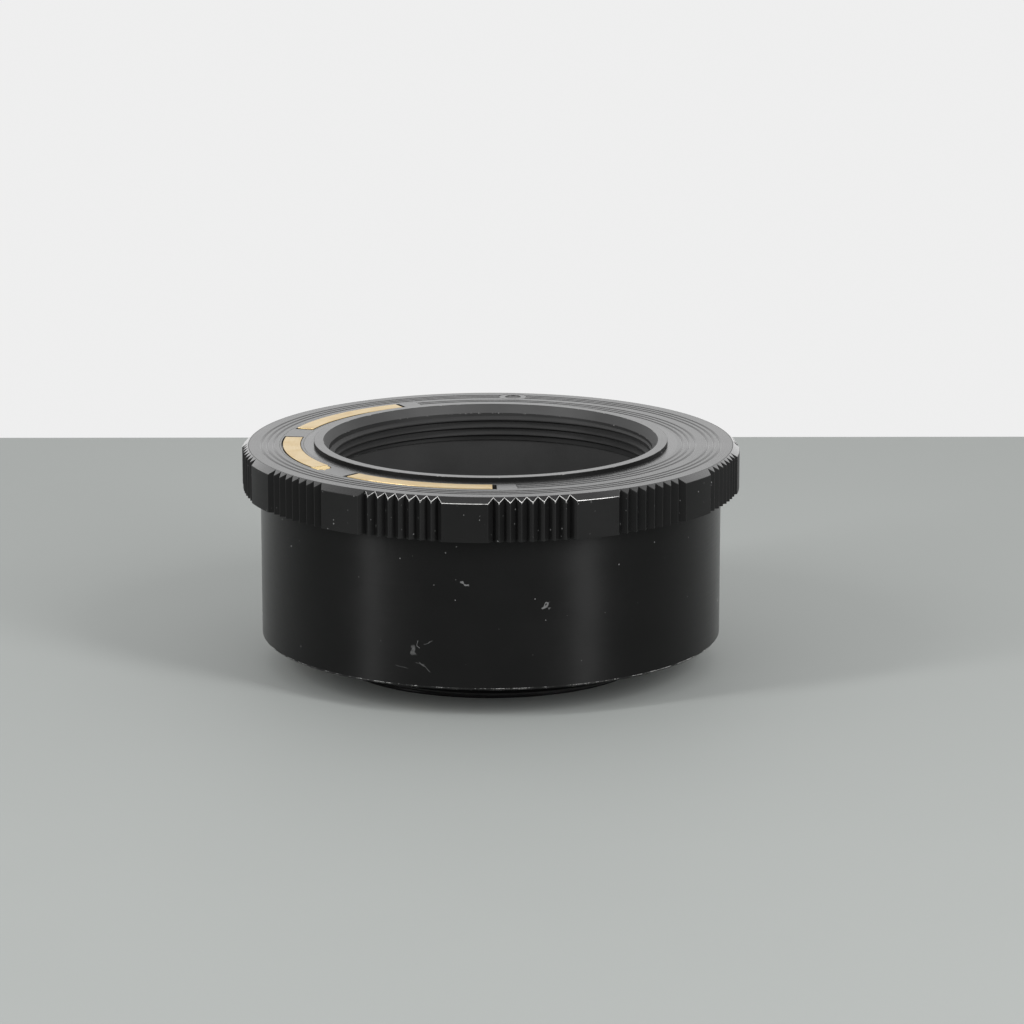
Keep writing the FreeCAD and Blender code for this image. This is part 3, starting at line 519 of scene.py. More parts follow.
@dataclass(frozen=True)
class Bright:
    """Plain machined or drawn metal with fine tool lines and a thin haze."""

    name: str
    colour: Colour = (0.56, 0.55, 0.53, 1.0)
    roughness: float = 0.3
    haze: Colour = (0.30, 0.28, 0.25, 1.0)

    def material(self) -> Material:
        """Build the nodes."""
        s = Shading(self.name)
        lines = s.turned_lines(s.z, 0.08, 2.0)
        haze = s.noise(1.5, 3.0, seed=12).over(0.58, 0.3)
        return s.close({
            "Base Color": s.blend(haze * 0.35, self.colour, self.haze), "Metallic": 1.0,
            "Roughness": self.roughness + (lines - 0.5) * 0.16 + haze * 0.12,
            "Normal": s.bump(s.noise(0.2, 2.0, seed=1), 0.003, s.bump(lines, 0.004))})


@dataclass(frozen=True)
class Enamel:
    """Paint that fills the index dot."""

    name: str
    colour: Colour = (0.055, 0.055, 0.055, 1.0)
    pit: Colour = grey(0.02)

    def material(self) -> Material:
        """Build the nodes."""
        s = Shading(self.name)
        pits = s.noise(0.25, 3.0)
        colour = s.blend(pits.over(0.62, 0.1) * 0.5, self.colour, self.pit)
        return s.close({"Base Color": colour, "Roughness": 0.36 + pits * 0.1, "Normal": s.bump(pits, 0.01)})


# Meshes


@dataclass(frozen=True)
class Extent:
    """Room that a solid of the frame takes up, in millimetres."""

    low: Vector
    high: Vector

    @classmethod
    def of(cls, node: str) -> "Extent":
        """Read the room of one solid."""
        low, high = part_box(node)
        return cls(low / MM, high / MM)

    @property
    def radius(self) -> float:
        """Half the width, for a round solid."""
        return (self.high.x - self.low.x) / 2

    @property
    def centre(self) -> Point:
        """Middle, seen from the front."""
        return ((self.low.x + self.high.x) / 2, (self.low.y + self.high.y) / 2)


def solid(node: str) -> Any:
    """Dataclass field that holds the room of one solid."""
    return field(default_factory=lambda: Extent.of(node))


def polar(radius: float, angle: float, height: float) -> Vector:
    """Place at a radius, an angle in radians and a height."""
    return Vector((radius * math.cos(angle), radius * math.sin(angle), height))


def upright(height: float) -> Vector:
    """Vector straight up."""
    return Vector((0.0, 0.0, height))


def metres(centre: Point, height: float) -> tuple[float, float, float]:
    """Place in metres, from millimetres."""
    return (centre[0] * MM, centre[1] * MM, height * MM)


def steps(first: float, last: float, count: int) -> list[float]:
    """Evenly spaced numbers from first to last, both included."""
    return [first + (last - first) * i / count for i in range(count + 1)]


def band(inner: float, outer: float, low: float, high: float) -> list[Point]:
    """Rectangular half section; one that starts at radius 0 is a plain rod or a drill."""
    return [(inner, low), (outer, low), (outer, high), (inner, high)]


def rounded_corner(centre: Point, radius: float, first: float, last: float, count: int = 6) -> list[Point]:
    """Points on an arc between two angles in degrees, with a number of chords."""
    turns = [math.radians(a) for a in steps(first, last, count)]
    return [(centre[0] + radius * math.cos(a), centre[1] + radius * math.sin(a)) for a in turns]


class Form:
    """A closed mesh under construction, in millimetres."""

    def __init__(self) -> None:
        """Start with nothing."""
        self.bm = bmesh.new()

    def loft(self, loops: Sequence[Sequence[Vector]], ring: bool = False, caps: bool = False) -> "Form":
        """Skin a row of closed loops that have as many points each.

        Args:
            loops: The loops, in order.
            ring: Join the last loop to the first.
            caps: Close both ends.

        Returns:
            This form.
        """
        rows = [[self.bm.verts.new(point) for point in loop] for loop in loops]
        for i in range(len(rows) if ring else len(rows) - 1):
            near, far = rows[i], rows[(i + 1) % len(rows)]
            for j in range(len(near)):
                k = (j + 1) % len(near)
                self.bm.faces.new((near[j], near[k], far[k], far[j]))
        if caps:
            self.bm.faces.new(rows[0])
            self.bm.faces.new(reversed(rows[-1]))
        return self

    def turning(self, profile: Sequence[Point], count: int, centre: Point = (0.0, 0.0)) -> "Form":
        """Revolve a closed profile of radii and heights about an upright axis, in a number of columns."""
        axis, turn = Vector((*centre, 0.0)), TAU / count
        return self.loft([[axis + polar(r, turn * i, z) for r, z in profile] for i in range(count)], ring=True)

    def extrusion(self, outline: Sequence[Vector], along: Vector) -> "Form":
        """Carry a flat outline along a vector."""
        return self.loft([outline, [point + along for point in outline]], caps=True)

    def tidy(self, outward: bool = True) -> "Form":
        """Weld doubled points, drop faces without area and turn faces outwards where the form is closed.

        Args:
            outward: Whether the form is closed.

        Returns:
            This form.
        """
        bmesh.ops.remove_doubles(self.bm, verts=self.bm.verts, dist=WELD)
        bmesh.ops.dissolve_degenerate(self.bm, edges=self.bm.edges, dist=WELD / 10)
        if outward:
            bmesh.ops.recalc_face_normals(self.bm, faces=self.bm.faces)
        return self

    def soften(self, angle: float = 20.0, weigh: Callable[[bmesh.types.BMEdge], float] | None = None) -> "Form":
        """Mark the outer edges that get a small round.

        Args:
            angle: Smallest angle between the faces of such an edge, in degrees.
            weigh: Share of the full round that an edge gets, by default all of it.

        Returns:
            This form.
        """
        weight = self.bm.edges.layers.float.new("bevel_weight_edge")
        self.bm.normal_update()
        for edge in self.bm.edges:
            if len(edge.link_faces) != 2 or not edge.is_convex:
                continue
            if edge.calc_face_angle() > math.radians(angle):
                edge[weight] = 1.0 if weigh is None else weigh(edge)
        return self

    def object(self, name: str, *materials: Material) -> Piece:
        """Make the object.

        Args:
            name: Name of the piece.
            materials: Its materials, the second one for its edges, rubbed by handling and lit with a painted
                highlight.

        Returns:
            An object at the origin, in metres.
        """
        mesh = bpy.data.meshes.new(name)
        self.bm.to_mesh(mesh)
        self.bm.free()
        mesh.transform(Matrix.Scale(MM, 4))
        for material in materials:
            mesh.materials.append(material)
        made = bpy.data.objects.new(name, mesh)
        bpy.context.scene.collection.objects.link(made)
        smooth(mesh)
        return made

    def finished(self, name: str, material: Material, width: float, angle: float = 20.0, count: int = 2) -> Piece:
        """Make the object with its outer edges rounded."""
        return round_edges(self.tidy().soften(angle).object(name, material), width, count=count)


def smooth(mesh: bpy.types.Mesh, angle: float = 25.0) -> None:
    """Shade a mesh smooth up to an angle, in degrees."""
    mesh.shade_smooth()
    mesh.set_sharp_from_angle(angle=math.radians(angle))


def outward(mesh: bpy.types.Mesh) -> None:
    """Turn the faces of a closed mesh outwards.

    Args:
        mesh: The mesh.
    """
    form = bmesh.new()
    form.from_mesh(mesh)
    bmesh.ops.recalc_face_normals(form, faces=form.faces)
    form.to_mesh(mesh)
    form.free()


def bake(piece: Piece) -> Piece:
    """Turn a piece with modifiers into a plain mesh.

    Args:
        piece: The piece.

    Returns:
        The piece.
    """
    graph = bpy.context.evaluated_depsgraph_get()
    graph.update()
    mesh = bpy.data.meshes.new_from_object(
        piece.evaluated_get(graph), preserve_all_data_layers=True, depsgraph=graph)
    old = piece.data
    piece.modifiers.clear()
    piece.data = mesh
    mesh.name = piece.name
    bpy.data.meshes.remove(old)
    return piece


def round_edges(piece: Piece, width: float, wear_and_glint: bool = False, count: int = 2) -> Piece:
    """Round the marked edges of a piece.

    Args:
        piece: Piece whose edges are marked.
        width: Width of the round in millimetres.
        wear_and_glint: Give the rounds the piece's second material, of rubbed edges with a painted highlight.
        count: Faces across a round.

    Returns:
        The piece.
    """
    bevel = piece.modifiers.new("edges", "BEVEL")
    bevel.limit_method = "WEIGHT"
    bevel.width = width * MM
    bevel.segments = count
    bevel.use_clamp_overlap = False
    bevel.harden_normals = True
    bevel.material = 1 if wear_and_glint else -1
    return bake(piece)


def cut_away(piece: Piece, cutter: Form) -> Piece:
    """Take a form away from a piece.

    Args:
        piece: The piece.
        cutter: Closed form to take away.

    Returns:
        The piece.
    """
    tool = cutter.tidy().object("cutter")
    cut = piece.modifiers.new("cut", "BOOLEAN")
    cut.operation = "DIFFERENCE"
    cut.solver = "EXACT"
    cut.object = tool
    bake(piece)
    bpy.data.objects.remove(tool)
    smooth(piece.data)
    return piece


class Growth(Graph):
    """Geometry nodes that make one piece, with named inputs for its sizes."""

    def __init__(self, name: str) -> None:
        """Make an empty tree."""
        super().__init__(bpy.data.node_groups.new(name, "GeometryNodeTree"))
        for way in ("INPUT", "OUTPUT"):
            self.tree.interface.new_socket("Geometry", in_out=way, socket_type="NodeSocketGeometry")
        self.entry = self.tree.nodes.new("NodeGroupInput")
        self.values: dict[str, Any] = {}

    def size(self, name: str, kind: str, value: Any) -> Sock:
        """Add a named input.

        Args:
            name: Name of the input.
            kind: Kind of number: Float, Int or Vector.
            value: Its value.

        Returns:
            The input's socket inside the tree.
        """
        made = self.tree.interface.new_socket(name, in_out="INPUT", socket_type=f"NodeSocket{kind}")
        self.values[made.identifier] = value
        return Sock(self, next(socket for socket in self.entry.outputs if socket.identifier == made.identifier))

    def grow(self, geometry: Sock, piece: Piece, material: Material) -> Piece:
        """Finish the tree, run it on a piece and keep the result as a plain mesh.

        Args:
            geometry: Last geometry of the tree.
            piece: Object that the result goes into.
            material: Its material.

        Returns:
            The piece.
        """
        real = self.node("GeometryNodeRealizeInstances", sockets={"Geometry": geometry})
        dressed = self.node("GeometryNodeSetMaterial", sockets={"Geometry": real, "Material": material})
        self.node("NodeGroupOutput", sockets={0: dressed})
        modifier = piece.modifiers.new("growth", "NODES")
        modifier.node_group = self.tree
        for identifier, value in self.values.items():
            modifier[identifier] = value
        return bake(piece)


@dataclass(frozen=True)
class Helix:
    """A wire or a thread ridge that winds up round an upright axis, in millimetres."""

    radius: float
    low: float
    high: float
    turns: float
    section: Section
    thickness: float = 0.3
    wire_facets: int = 16
    ridge_width: float = 0.86
    ridge_crest: float = 0.14
    ridge_height: float = 0.55
    run_out: float = 0.06
    run_out_scale: float = 0.02
    centre: Point = (0.0, 0.0)
    chords: int = 96

    @classmethod
    def thread(cls, root: float, crest: float, low: float, high: float, pitch: float, **shape: float) -> "Helix":
        """Thread ridge between two heights on a wall, with its crest outside the wall or inside it."""
        radius = root - math.copysign(ROOT_OVERLAP, crest - root)
        return cls(radius, low, high, (high - low) / pitch, Section.RIDGE, ridge_height=crest - radius, **shape)

    def piece(self, name: str, material: Material) -> Piece:
        """Build it.

        Args:
            name: Name of the piece.
            material: Its material.

        Returns:
            The piece.
        """
        g = Growth(name + "_helix")
        path = g.node("GeometryNodeCurveSpiral", sockets={
            "Resolution": self.chords,
            "Rotations": g.size("Turns", "Float", self.turns),
            "Start Radius": g.size("Radius", "Float", self.radius * MM),
            "End Radius": g.size("End Radius", "Float", self.radius * MM),
            "Height": g.size("Rise", "Float", (self.high - self.low) * MM),
        })
        standing = g.node("GeometryNodeSetCurveNormal", {"mode": "Z_UP"}, {"Curve": path})
        scale: Value = 1.0
        if self.section is Section.RIDGE:
            along = g.node("GeometryNodeSplineParameter", output="Factor")
            ends = along.math("MINIMUM", 1 - along) / self.run_out
            scale = ends.math("MINIMUM", 1.0).math("MAXIMUM", self.run_out_scale)
            profile = self._ridge(g)
        else:
            wire = g.size("Wire Radius", "Float", self.thickness / 2 * MM)
            profile = g.node("GeometryNodeCurvePrimitiveCircle", sockets={
                "Resolution": self.wire_facets, "Radius": wire})
        swept = g.node("GeometryNodeCurveToMesh", sockets={
            "Curve": standing, "Profile Curve": profile, "Scale": scale, "Fill Caps": True})
        placed = g.node("GeometryNodeTransform", sockets={
            "Geometry": swept, "Translation": g.size("Place", "Vector", metres(self.centre, self.low))})
        made = g.grow(placed, Form().object(name, material), material)
        outward(made.data)
        smooth(made.data)
        return made

    def _ridge(self, g: Growth) -> Sock:
        """Section of a thread ridge.

        Args:
            g: Nodes of the helix.

        Returns:
            The section's curve.
        """
        foot = self.ridge_width / 2 * MM
        crest = self.ridge_crest / 2 * MM
        height = -self.ridge_height * MM
        corners = ((0.0, -foot, 0.0), (height, -crest, 0.0), (height, crest, 0.0), (0.0, foot, 0.0))
        return g.node("GeometryNodeCurvePrimitiveQuadrilateral", {"mode": "POINTS"}, {
            f"Point {i}": corner for i, corner in enumerate(corners, 1)})


@dataclass(frozen=True)
class Round:
    """Copies of one mesh, turned in equal steps about an upright axis."""

    count: int
    first: float
    step: float
    centre: Point = (0.0, 0.0)

    def repeat(self, piece: Piece, material: Material) -> Piece:
        """Repeat a mesh that was built about the origin.

        Args:
            piece: Object with the mesh.
            material: Material of the copies.

        Returns:
            The same object with all the copies in it.
        """
        g = Growth(piece.name + "_round")
        index = g.node("GeometryNodeInputIndex")
        turn = index * g.size("Step", "Float", self.step) + g.size("First", "Float", self.first)
        points = g.node("GeometryNodePoints", sockets={
            "Count": g.size("Count", "Int", self.count),
            "Position": g.size("Axis", "Vector", metres(self.centre, 0.0))})
        copies = g.node("GeometryNodeInstanceOnPoints", sockets={
            "Points": points,
            "Instance": Sock(g, g.entry.outputs[0]),
            "Rotation": g.node("FunctionNodeAxisAngleToRotation", sockets={"Axis": (0.0, 0.0, 1.0), "Angle": turn})})
        real = g.node("GeometryNodeRealizeInstances", sockets={"Geometry": copies})
        welded = g.node("GeometryNodeMergeByDistance", sockets={"Geometry": real, "Distance": WELD * MM})
        return g.grow(welded, piece, material)


def mount(piece: Piece, body: Body, slot: str, *nodes: str) -> None:
    """Put a finished piece on its body.

    Args:
        piece: The piece.
        body: Body that it rides on.
        slot: Material slot of the record; not used.
        nodes: Solids that it stands for.
    """
    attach(piece, body.value)
    if nodes:
        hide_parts(*nodes)
    log.info("%s: %d faces on %s", piece.name, len(piece.data.polygons), body.value)


@dataclass(frozen=True)
class Coil:
    """A coil spring that a joint presses together."""

    name: str
    node: str
    joint: str
    centre: Point
    radius: float
    wire: float
    turns: float
    chords: int
    travel: float

    def build(self, steel: Material) -> None:
        """Make the spring and put it on the tube.

        Args:
            steel: Its material.
        """
        room = Extent.of(self.node)
        spring = Helix(
            self.radius, room.low.z + self.wire / 2, room.high.z - self.wire / 2, self.turns, Section.WIRE,
            thickness=self.wire, centre=self.centre, chords=self.chords).piece(self.name, steel)
        mount(spring, Body.TUBE, "spring_steel", self.node)
        length = room.high.z - room.low.z
        anchor = metres(self.centre, room.high.z)
        (length - self.travel) / length
        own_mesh(spring)


# Sub-assemblies


@dataclass
class Barrel:
    """Turned tube with its rear flange and the male thread."""

    room: Extent = solid("barrel")
    ring: Extent = solid("front_ring")
    sleeve: Extent = solid("inner_sleeve")
    rod: Extent = solid("release_rod")
    wall: float = 1.9
    joint_wall: float = 1.1
    flange_z: float = 3.75
    floor: float = 2.2
    heel: float = 0.25
    heel_round: float = 0.05
    thread_r: float = 21.0
    thread_depth: float = 0.55
    thread_pitch: float = 1.0
    thread_low: float = 0.55
    thread_end: float = 0.3
    spigot_wall: float = 1.6
    spigot_chamfer: float = 0.25
    relief_r: float = 20.3
    relief_z: float = 2.45
    undercut_r: float = 21.1
    undercut_z: float = 3.45
    seat_r: float = 22.4
    seat_z: float = 3.25
    opening_r: float = 15.5
    sleeve_gap: float = 0.03
    sleeve_depth: float = 0.4
    hole_gap: float = 0.03
    release_hole_r: float = 1.05
    marks: tuple[Mark, ...] = (
        Mark(-103.0, 8.6, 0.5, 1.2, 12.0, 0.36),
        Mark(-99.9, 6.5, 0.05, 1.8, 50.0, 0.55),
        Mark(-101.2, 6.9, 0.05, 1.0, 80.0, 0.4),
        Mark(-99.0, 9.7, 0.06, 1.0, -60.0, 0.55),
        Mark(-106.0, 6.3, 0.05, 1.6, 80.0, 0.3),
    )

    def build(self) -> None:
        """Make the barrel and its thread."""
        black = Anodised(
            "barrel_black", level=0.0035, roughness=0.33, specular=0.16, anisotropy=0.85, dust=0.5, dust_size=0.11,
            marks=self.marks, seed=1.0).material()
        # Heel edge: rubbed metal with a painted highlight on the round.
        wear_and_glint = WearAndGlintEdge("barrel_edge", wear_and_glint_share=0.44, patch=0.5).material()
        form = Form().turning(self._profile(), Facets.TUBE).tidy().soften(weigh=self._heel_weight)
        barrel = cut_away(form.object("barrel_turned", black, wear_and_glint), self._drills())
        mount(round_edges(barrel, self.heel_round, wear_and_glint=True), Body.TUBE, "barrel_black", "barrel")
        thread_black = Anodised("rear_thread_black", roughness=0.3, dust=0.05, seed=5.0).material()
        thread = Helix.thread(
            self.thread_r - self.thread_depth, self.thread_r, self.thread_low, self.relief_z - self.thread_end,
            self.thread_pitch)
        mount(thread.piece("rear_thread", thread_black), Body.TUBE, "barrel_black")

    def _profile(self) -> list[Point]:
        """Half section of the barrel, with the male thread down to its root.

        Returns:
            Radii and heights.
        """
        body = self.room.radius
        bore = body - self.wall
        joint = bore + self.joint_wall
        root = self.thread_r - self.thread_depth
        spigot_bore = self.thread_r - self.spigot_wall
        floor_z = self.flange_z + self.floor
        rebate_z = floor_z - self.sleeve_depth
        rebate_outer = self.sleeve.radius + self.sleeve_gap
        rebate_inner = self.sleeve.radius - SLEEVE_WALL - self.sleeve_gap
        return [
            (spigot_bore, 0.0), (root - self.spigot_chamfer, 0.0), (root, self.spigot_chamfer), (root, self.relief_z),
            (self.relief_r, self.relief_z), (self.relief_r, self.undercut_z),
            (self.undercut_r, self.undercut_z), (self.undercut_r, self.seat_z),
            (self.seat_r, self.seat_z), (self.seat_r, self.flange_z),
            (body - self.heel, self.flange_z), (body, self.flange_z + self.heel),
            (body, self.ring.low.z), (joint, self.ring.low.z), (joint, self.room.high.z), (bore, self.room.high.z),
            (bore, floor_z), (rebate_outer, floor_z), (rebate_outer, rebate_z),
            (rebate_inner, rebate_z), (rebate_inner, floor_z),
            (self.opening_r, floor_z), (self.opening_r, self.flange_z), (spigot_bore, self.flange_z),
        ]

    def _heel_weight(self, edge: bmesh.types.BMEdge) -> float:
        """A round at the outside of the barrel only."""
        return float(all(v.co.xy.length > self.room.radius - 2 * self.heel for v in edge.verts))

    def _drills(self) -> Form:
        """Cutter for the holes of the contact bushes and the release rod.

        Returns:
            The cutter.
        """
        low, high = self.flange_z - CUT_MARGIN, self.flange_z + self.floor + CUT_MARGIN
        bushes = [Extent.of(f"contact_bush_{place.value}") for place in Place]
        holes = [(bush.centre, bush.radius + self.hole_gap) for bush in bushes]
        drills = Form()
        for centre, radius in [*holes, (self.rod.centre, self.release_hole_r)]:
            drills.turning(band(0.0, radius, low, high), Facets.PIN, centre)
        return drills


@dataclass
class FrontRing:
    """Front ring with the knurled grip, the grooved face, the contact pocket and the index bead."""

    room: Extent = solid("front_ring")
    bead: Extent = solid("index_bead")
    groups: int = 12
    grooves: int = 8
    pitch: float = math.radians(2.5)
    phase: float = math.radians(0.3)
    flat_columns: int = 5
    knurl_depth: float = 0.8
    land: float = 0.08
    ridge_drop: float = 0.15
    ridge_round: float = 0.4
    grip_angle: float = 18.0
    grip_round: float = 0.042
    chamfer_width: float = 0.85
    chamfer_height: float = 0.68
    web: float = 3.3
    joint_r: float = 29.23
    bore_r: float = 23.03
    seam: float = 0.08
    groove_half: float = 0.2
    groove_depth: float = 0.12
    groove_radii: tuple[float, ...] = (25.0, 25.8, 26.6, 28.25, 29.05, 29.85)
    pocket_inner: float = 24.325
    pocket_outer: float = 27.475
    pocket_depth: float = 1.6
    pocket_middle: float = math.radians(200.5)
    pocket_span: float = math.radians(165.43)
    bead_gap: float = 0.03
    bead_round: float = 0.08
    dot_r: float = 1.05
    dot_depth: float = 0.17
    paint_fill: float = 0.5
    paint_gap: float = 0.01
    paint_flat: float = 0.8
    paint_dips: Point = (0.03, 0.04)

    def build(self) -> None:
        """Make the grip, the face and the index bead."""
        face_black = Anodised(
            "face_black", level=0.012, roughness=0.25, specular=0.4, coat=0.36, anisotropy=0.4, faced=True,
            tool_pitch=0.1, dust_size=0.06, seed=3.0).material()
        self._build_grip()
        self._build_face(face_black)
        self._build_bead(face_black)

    @property
    def seam_r(self) -> float:
        """Radius at which the grip and the face meet."""
        return self.room.radius - self.chamfer_width - self.seam

    def _build_grip(self) -> None:
        """Knurled outside with its chamfer and its rubbed edges, which carry a painted highlight."""
        grip_black = Anodised(
            "grip_black", level=0.005, roughness=0.45, specular=0.18, dust=0.5, dust_size=0.1, dust_pitch=0.7,
            seed=2.0).material()
        chamfer_black = Anodised(
            "chamfer_black", level=0.011, roughness=0.26, specular=0.6, coat=1.0, faced=True, dust=0.2,
            seed=7.0).material()
        # Ring edges: rubbed metal with a painted highlight, kept brightest in three lobes, one facing the camera.
        wear_and_glint = WearAndGlintEdge("ring_edge", wear_and_glint_share=0.29, crest=self.room.high.z - self.chamfer_height, glint_lobes=3).material()
        form = self._group().tidy(outward=False).soften(self.grip_angle, self._grip_weight)
        group = form.object("front_ring_grip", grip_black)
        piece = Round(self.groups, self.phase, TAU / self.groups).repeat(group, grip_black)
        piece.data.materials.append(wear_and_glint)
        piece.data.materials.append(chamfer_black)
        outward(piece.data)
        for polygon in piece.data.polygons:
            if SLOPE < polygon.normal.z < FLAT:
                polygon.material_index = 2
        smooth(piece.data)
        mount(round_edges(piece, self.grip_round, wear_and_glint=True), Body.TUBE, "ring_black", "front_ring")

    def _grip_weight(self, edge: bmesh.types.BMEdge) -> float:
        """Full round on the lower edge of the chamfer, a slight one on the ridges and none at the face.

        Args:
            edge: An outer edge of the grip.

        Returns:
            Share of the full round.
        """
        lowest = min(v.co.z for v in edge.verts)
        if lowest > self.room.high.z - self.seam / 4:
            return 0.0
        return 1.0 if lowest > self.room.high.z - self.chamfer_height - self.seam else self.ridge_round

    def _columns(self) -> list[Point]:
        """Outline of one group of grooves.

        Returns:
            Angle and outer radius of each column.
        """
        rim = self.room.radius
        ridge, root = rim - self.ridge_drop, rim - self.knurl_depth
        half = (self.pitch - self.land / rim) / 2
        sector = TAU / self.groups
        first = (sector - self.pitch * (self.grooves - 1)) / 2
        columns = [(a, rim) for a in steps(0.0, first - half, self.flat_columns)]
        for i in range(self.grooves):
            middle = first + i * self.pitch
            before = ridge if i else rim
            after = ridge if i < self.grooves - 1 else rim
            if i:
                columns.append((middle - half, before))
            columns.append((middle - half / 2, (before + root) / 2))
            columns.append((middle, root))
            columns.append((middle + half / 2, (after + root) / 2))
            columns.append((middle + half, after))
        last = first + (self.grooves - 1) * self.pitch + half
        return columns + [(a, rim) for a in steps(last, sector, self.flat_columns)[1:]]

    def _group(self) -> Form:
        """Grip over one group of grooves, open at both ends.

        Returns:
            The form.
        """
        low, top = self.room.low.z, self.room.high.z
        slope = self.chamfer_height / self.chamfer_width
        edge = self.room.radius - self.chamfer_width
        loops = []
        for angle, radius in self._columns():
            cone_z = top - (radius - edge) * slope
            section = [(self.seam_r, low), (radius, low), (radius, cone_z), (edge, top), (self.seam_r, top)]
            loops.append([polar(r, angle, z) for r, z in section])
        return Form().loft(loops[::-1])

    def _build_face(self, face_black: Material) -> None:
        """Inner part of the ring: the grooved face, the contact pocket and the joint with the barrel.

        Args:
            face_black: Material of the face.
        """
        land_black = Anodised(
            "land_black", level=0.014, roughness=0.25, specular=0.5, coat=0.4, anisotropy=0.5, faced=True,
            dust_size=0.06, seed=8.0).material()
        start = self.pocket_middle - self.pocket_span / 2
        end = self.pocket_middle + self.pocket_span / 2
        inside = round(Facets.FACE * self.pocket_span / TAU)
        loops = [self._column(a, True) for a in steps(start, end, inside)]
        loops += [self._column(a, False) for a in steps(end, start + TAU, Facets.FACE - inside)]
        face = Form().loft(loops, ring=True).tidy().object("front_ring_face", face_black, land_black)
        for polygon in face.data.polygons:
            if polygon.normal.z > FLAT and polygon.center.xy.length < self.pocket_inner * MM:
                polygon.material_index = 1
        seat = band(
            0.0, self.bead.radius + self.bead_gap, self.bead.low.z - self.bead_gap, self.room.high.z + CUT_MARGIN)
        cut_away(face, Form().turning(seat, Facets.BEAD, self.bead.centre))
        mount(face, Body.TUBE, "ring_black", "front_ring")

    def _column(self, angle: float, pocket: bool) -> list[Vector]:
        """Section of the inner part at one angle.

        Args:
            angle: The angle.
            pocket: Whether the contact pocket runs through it.

        Returns:
            The section's points.
        """
        top, low = self.room.high.z, self.room.low.z
        level = top - self.pocket_depth if pocket else top
        section = [(self.joint_r, low), (self.seam_r, low), (self.seam_r, top)]
        crossed = False
        for radius in reversed(self.groove_radii):
            inner = radius < self.pocket_outer
            if inner and not crossed:
                crossed = True
                section += [(self.pocket_outer, top), (self.pocket_outer, level)]
            brim = level if inner else top
            root = brim if pocket and inner else top - self.groove_depth
            section += [(radius + self.groove_half, brim), (radius, root), (radius - self.groove_half, brim)]
        section += [(self.pocket_inner, level), (self.pocket_inner, top)]
        section += [(self.bore_r, top), (self.bore_r, top - self.web), (self.joint_r, top - self.web)]
        return [polar(r, angle, z) for r, z in section]

    def _build_bead(self, black: Material) -> None:
        """Smooth bead with a sunk dot, and the paint in the dot.

        Args:
            black: Material of the bead.
        """
        low, top = self.bead.low.z, self.bead.high.z
        floor = top - self.dot_depth
        profile = [
            (0.0, low), (self.bead.radius, low), (self.bead.radius, top),
            (self.dot_r, top), (self.dot_r, floor), (0.0, floor)]
        form = Form().turning(profile, Facets.BEAD, self.bead.centre)
        bead = form.finished("index_bead_turned", black, self.bead_round)
        mount(bead, Body.TUBE, "index_black", "index_bead")
        brim = top - self.dot_depth * self.paint_fill
        radius = self.dot_r - self.paint_gap
        edge_dip, middle_dip = self.paint_dips
        profile = [
            (0.0, floor), (radius, floor), (radius, brim),
            (radius * self.paint_flat, brim - edge_dip), (0.0, brim - middle_dip)]
        form = Form().turning(profile, Facets.PIN, self.bead.centre).tidy()
        mount(form.object("index_paint_dot", Enamel("index_paint").material()), Body.TUBE, "index_black")


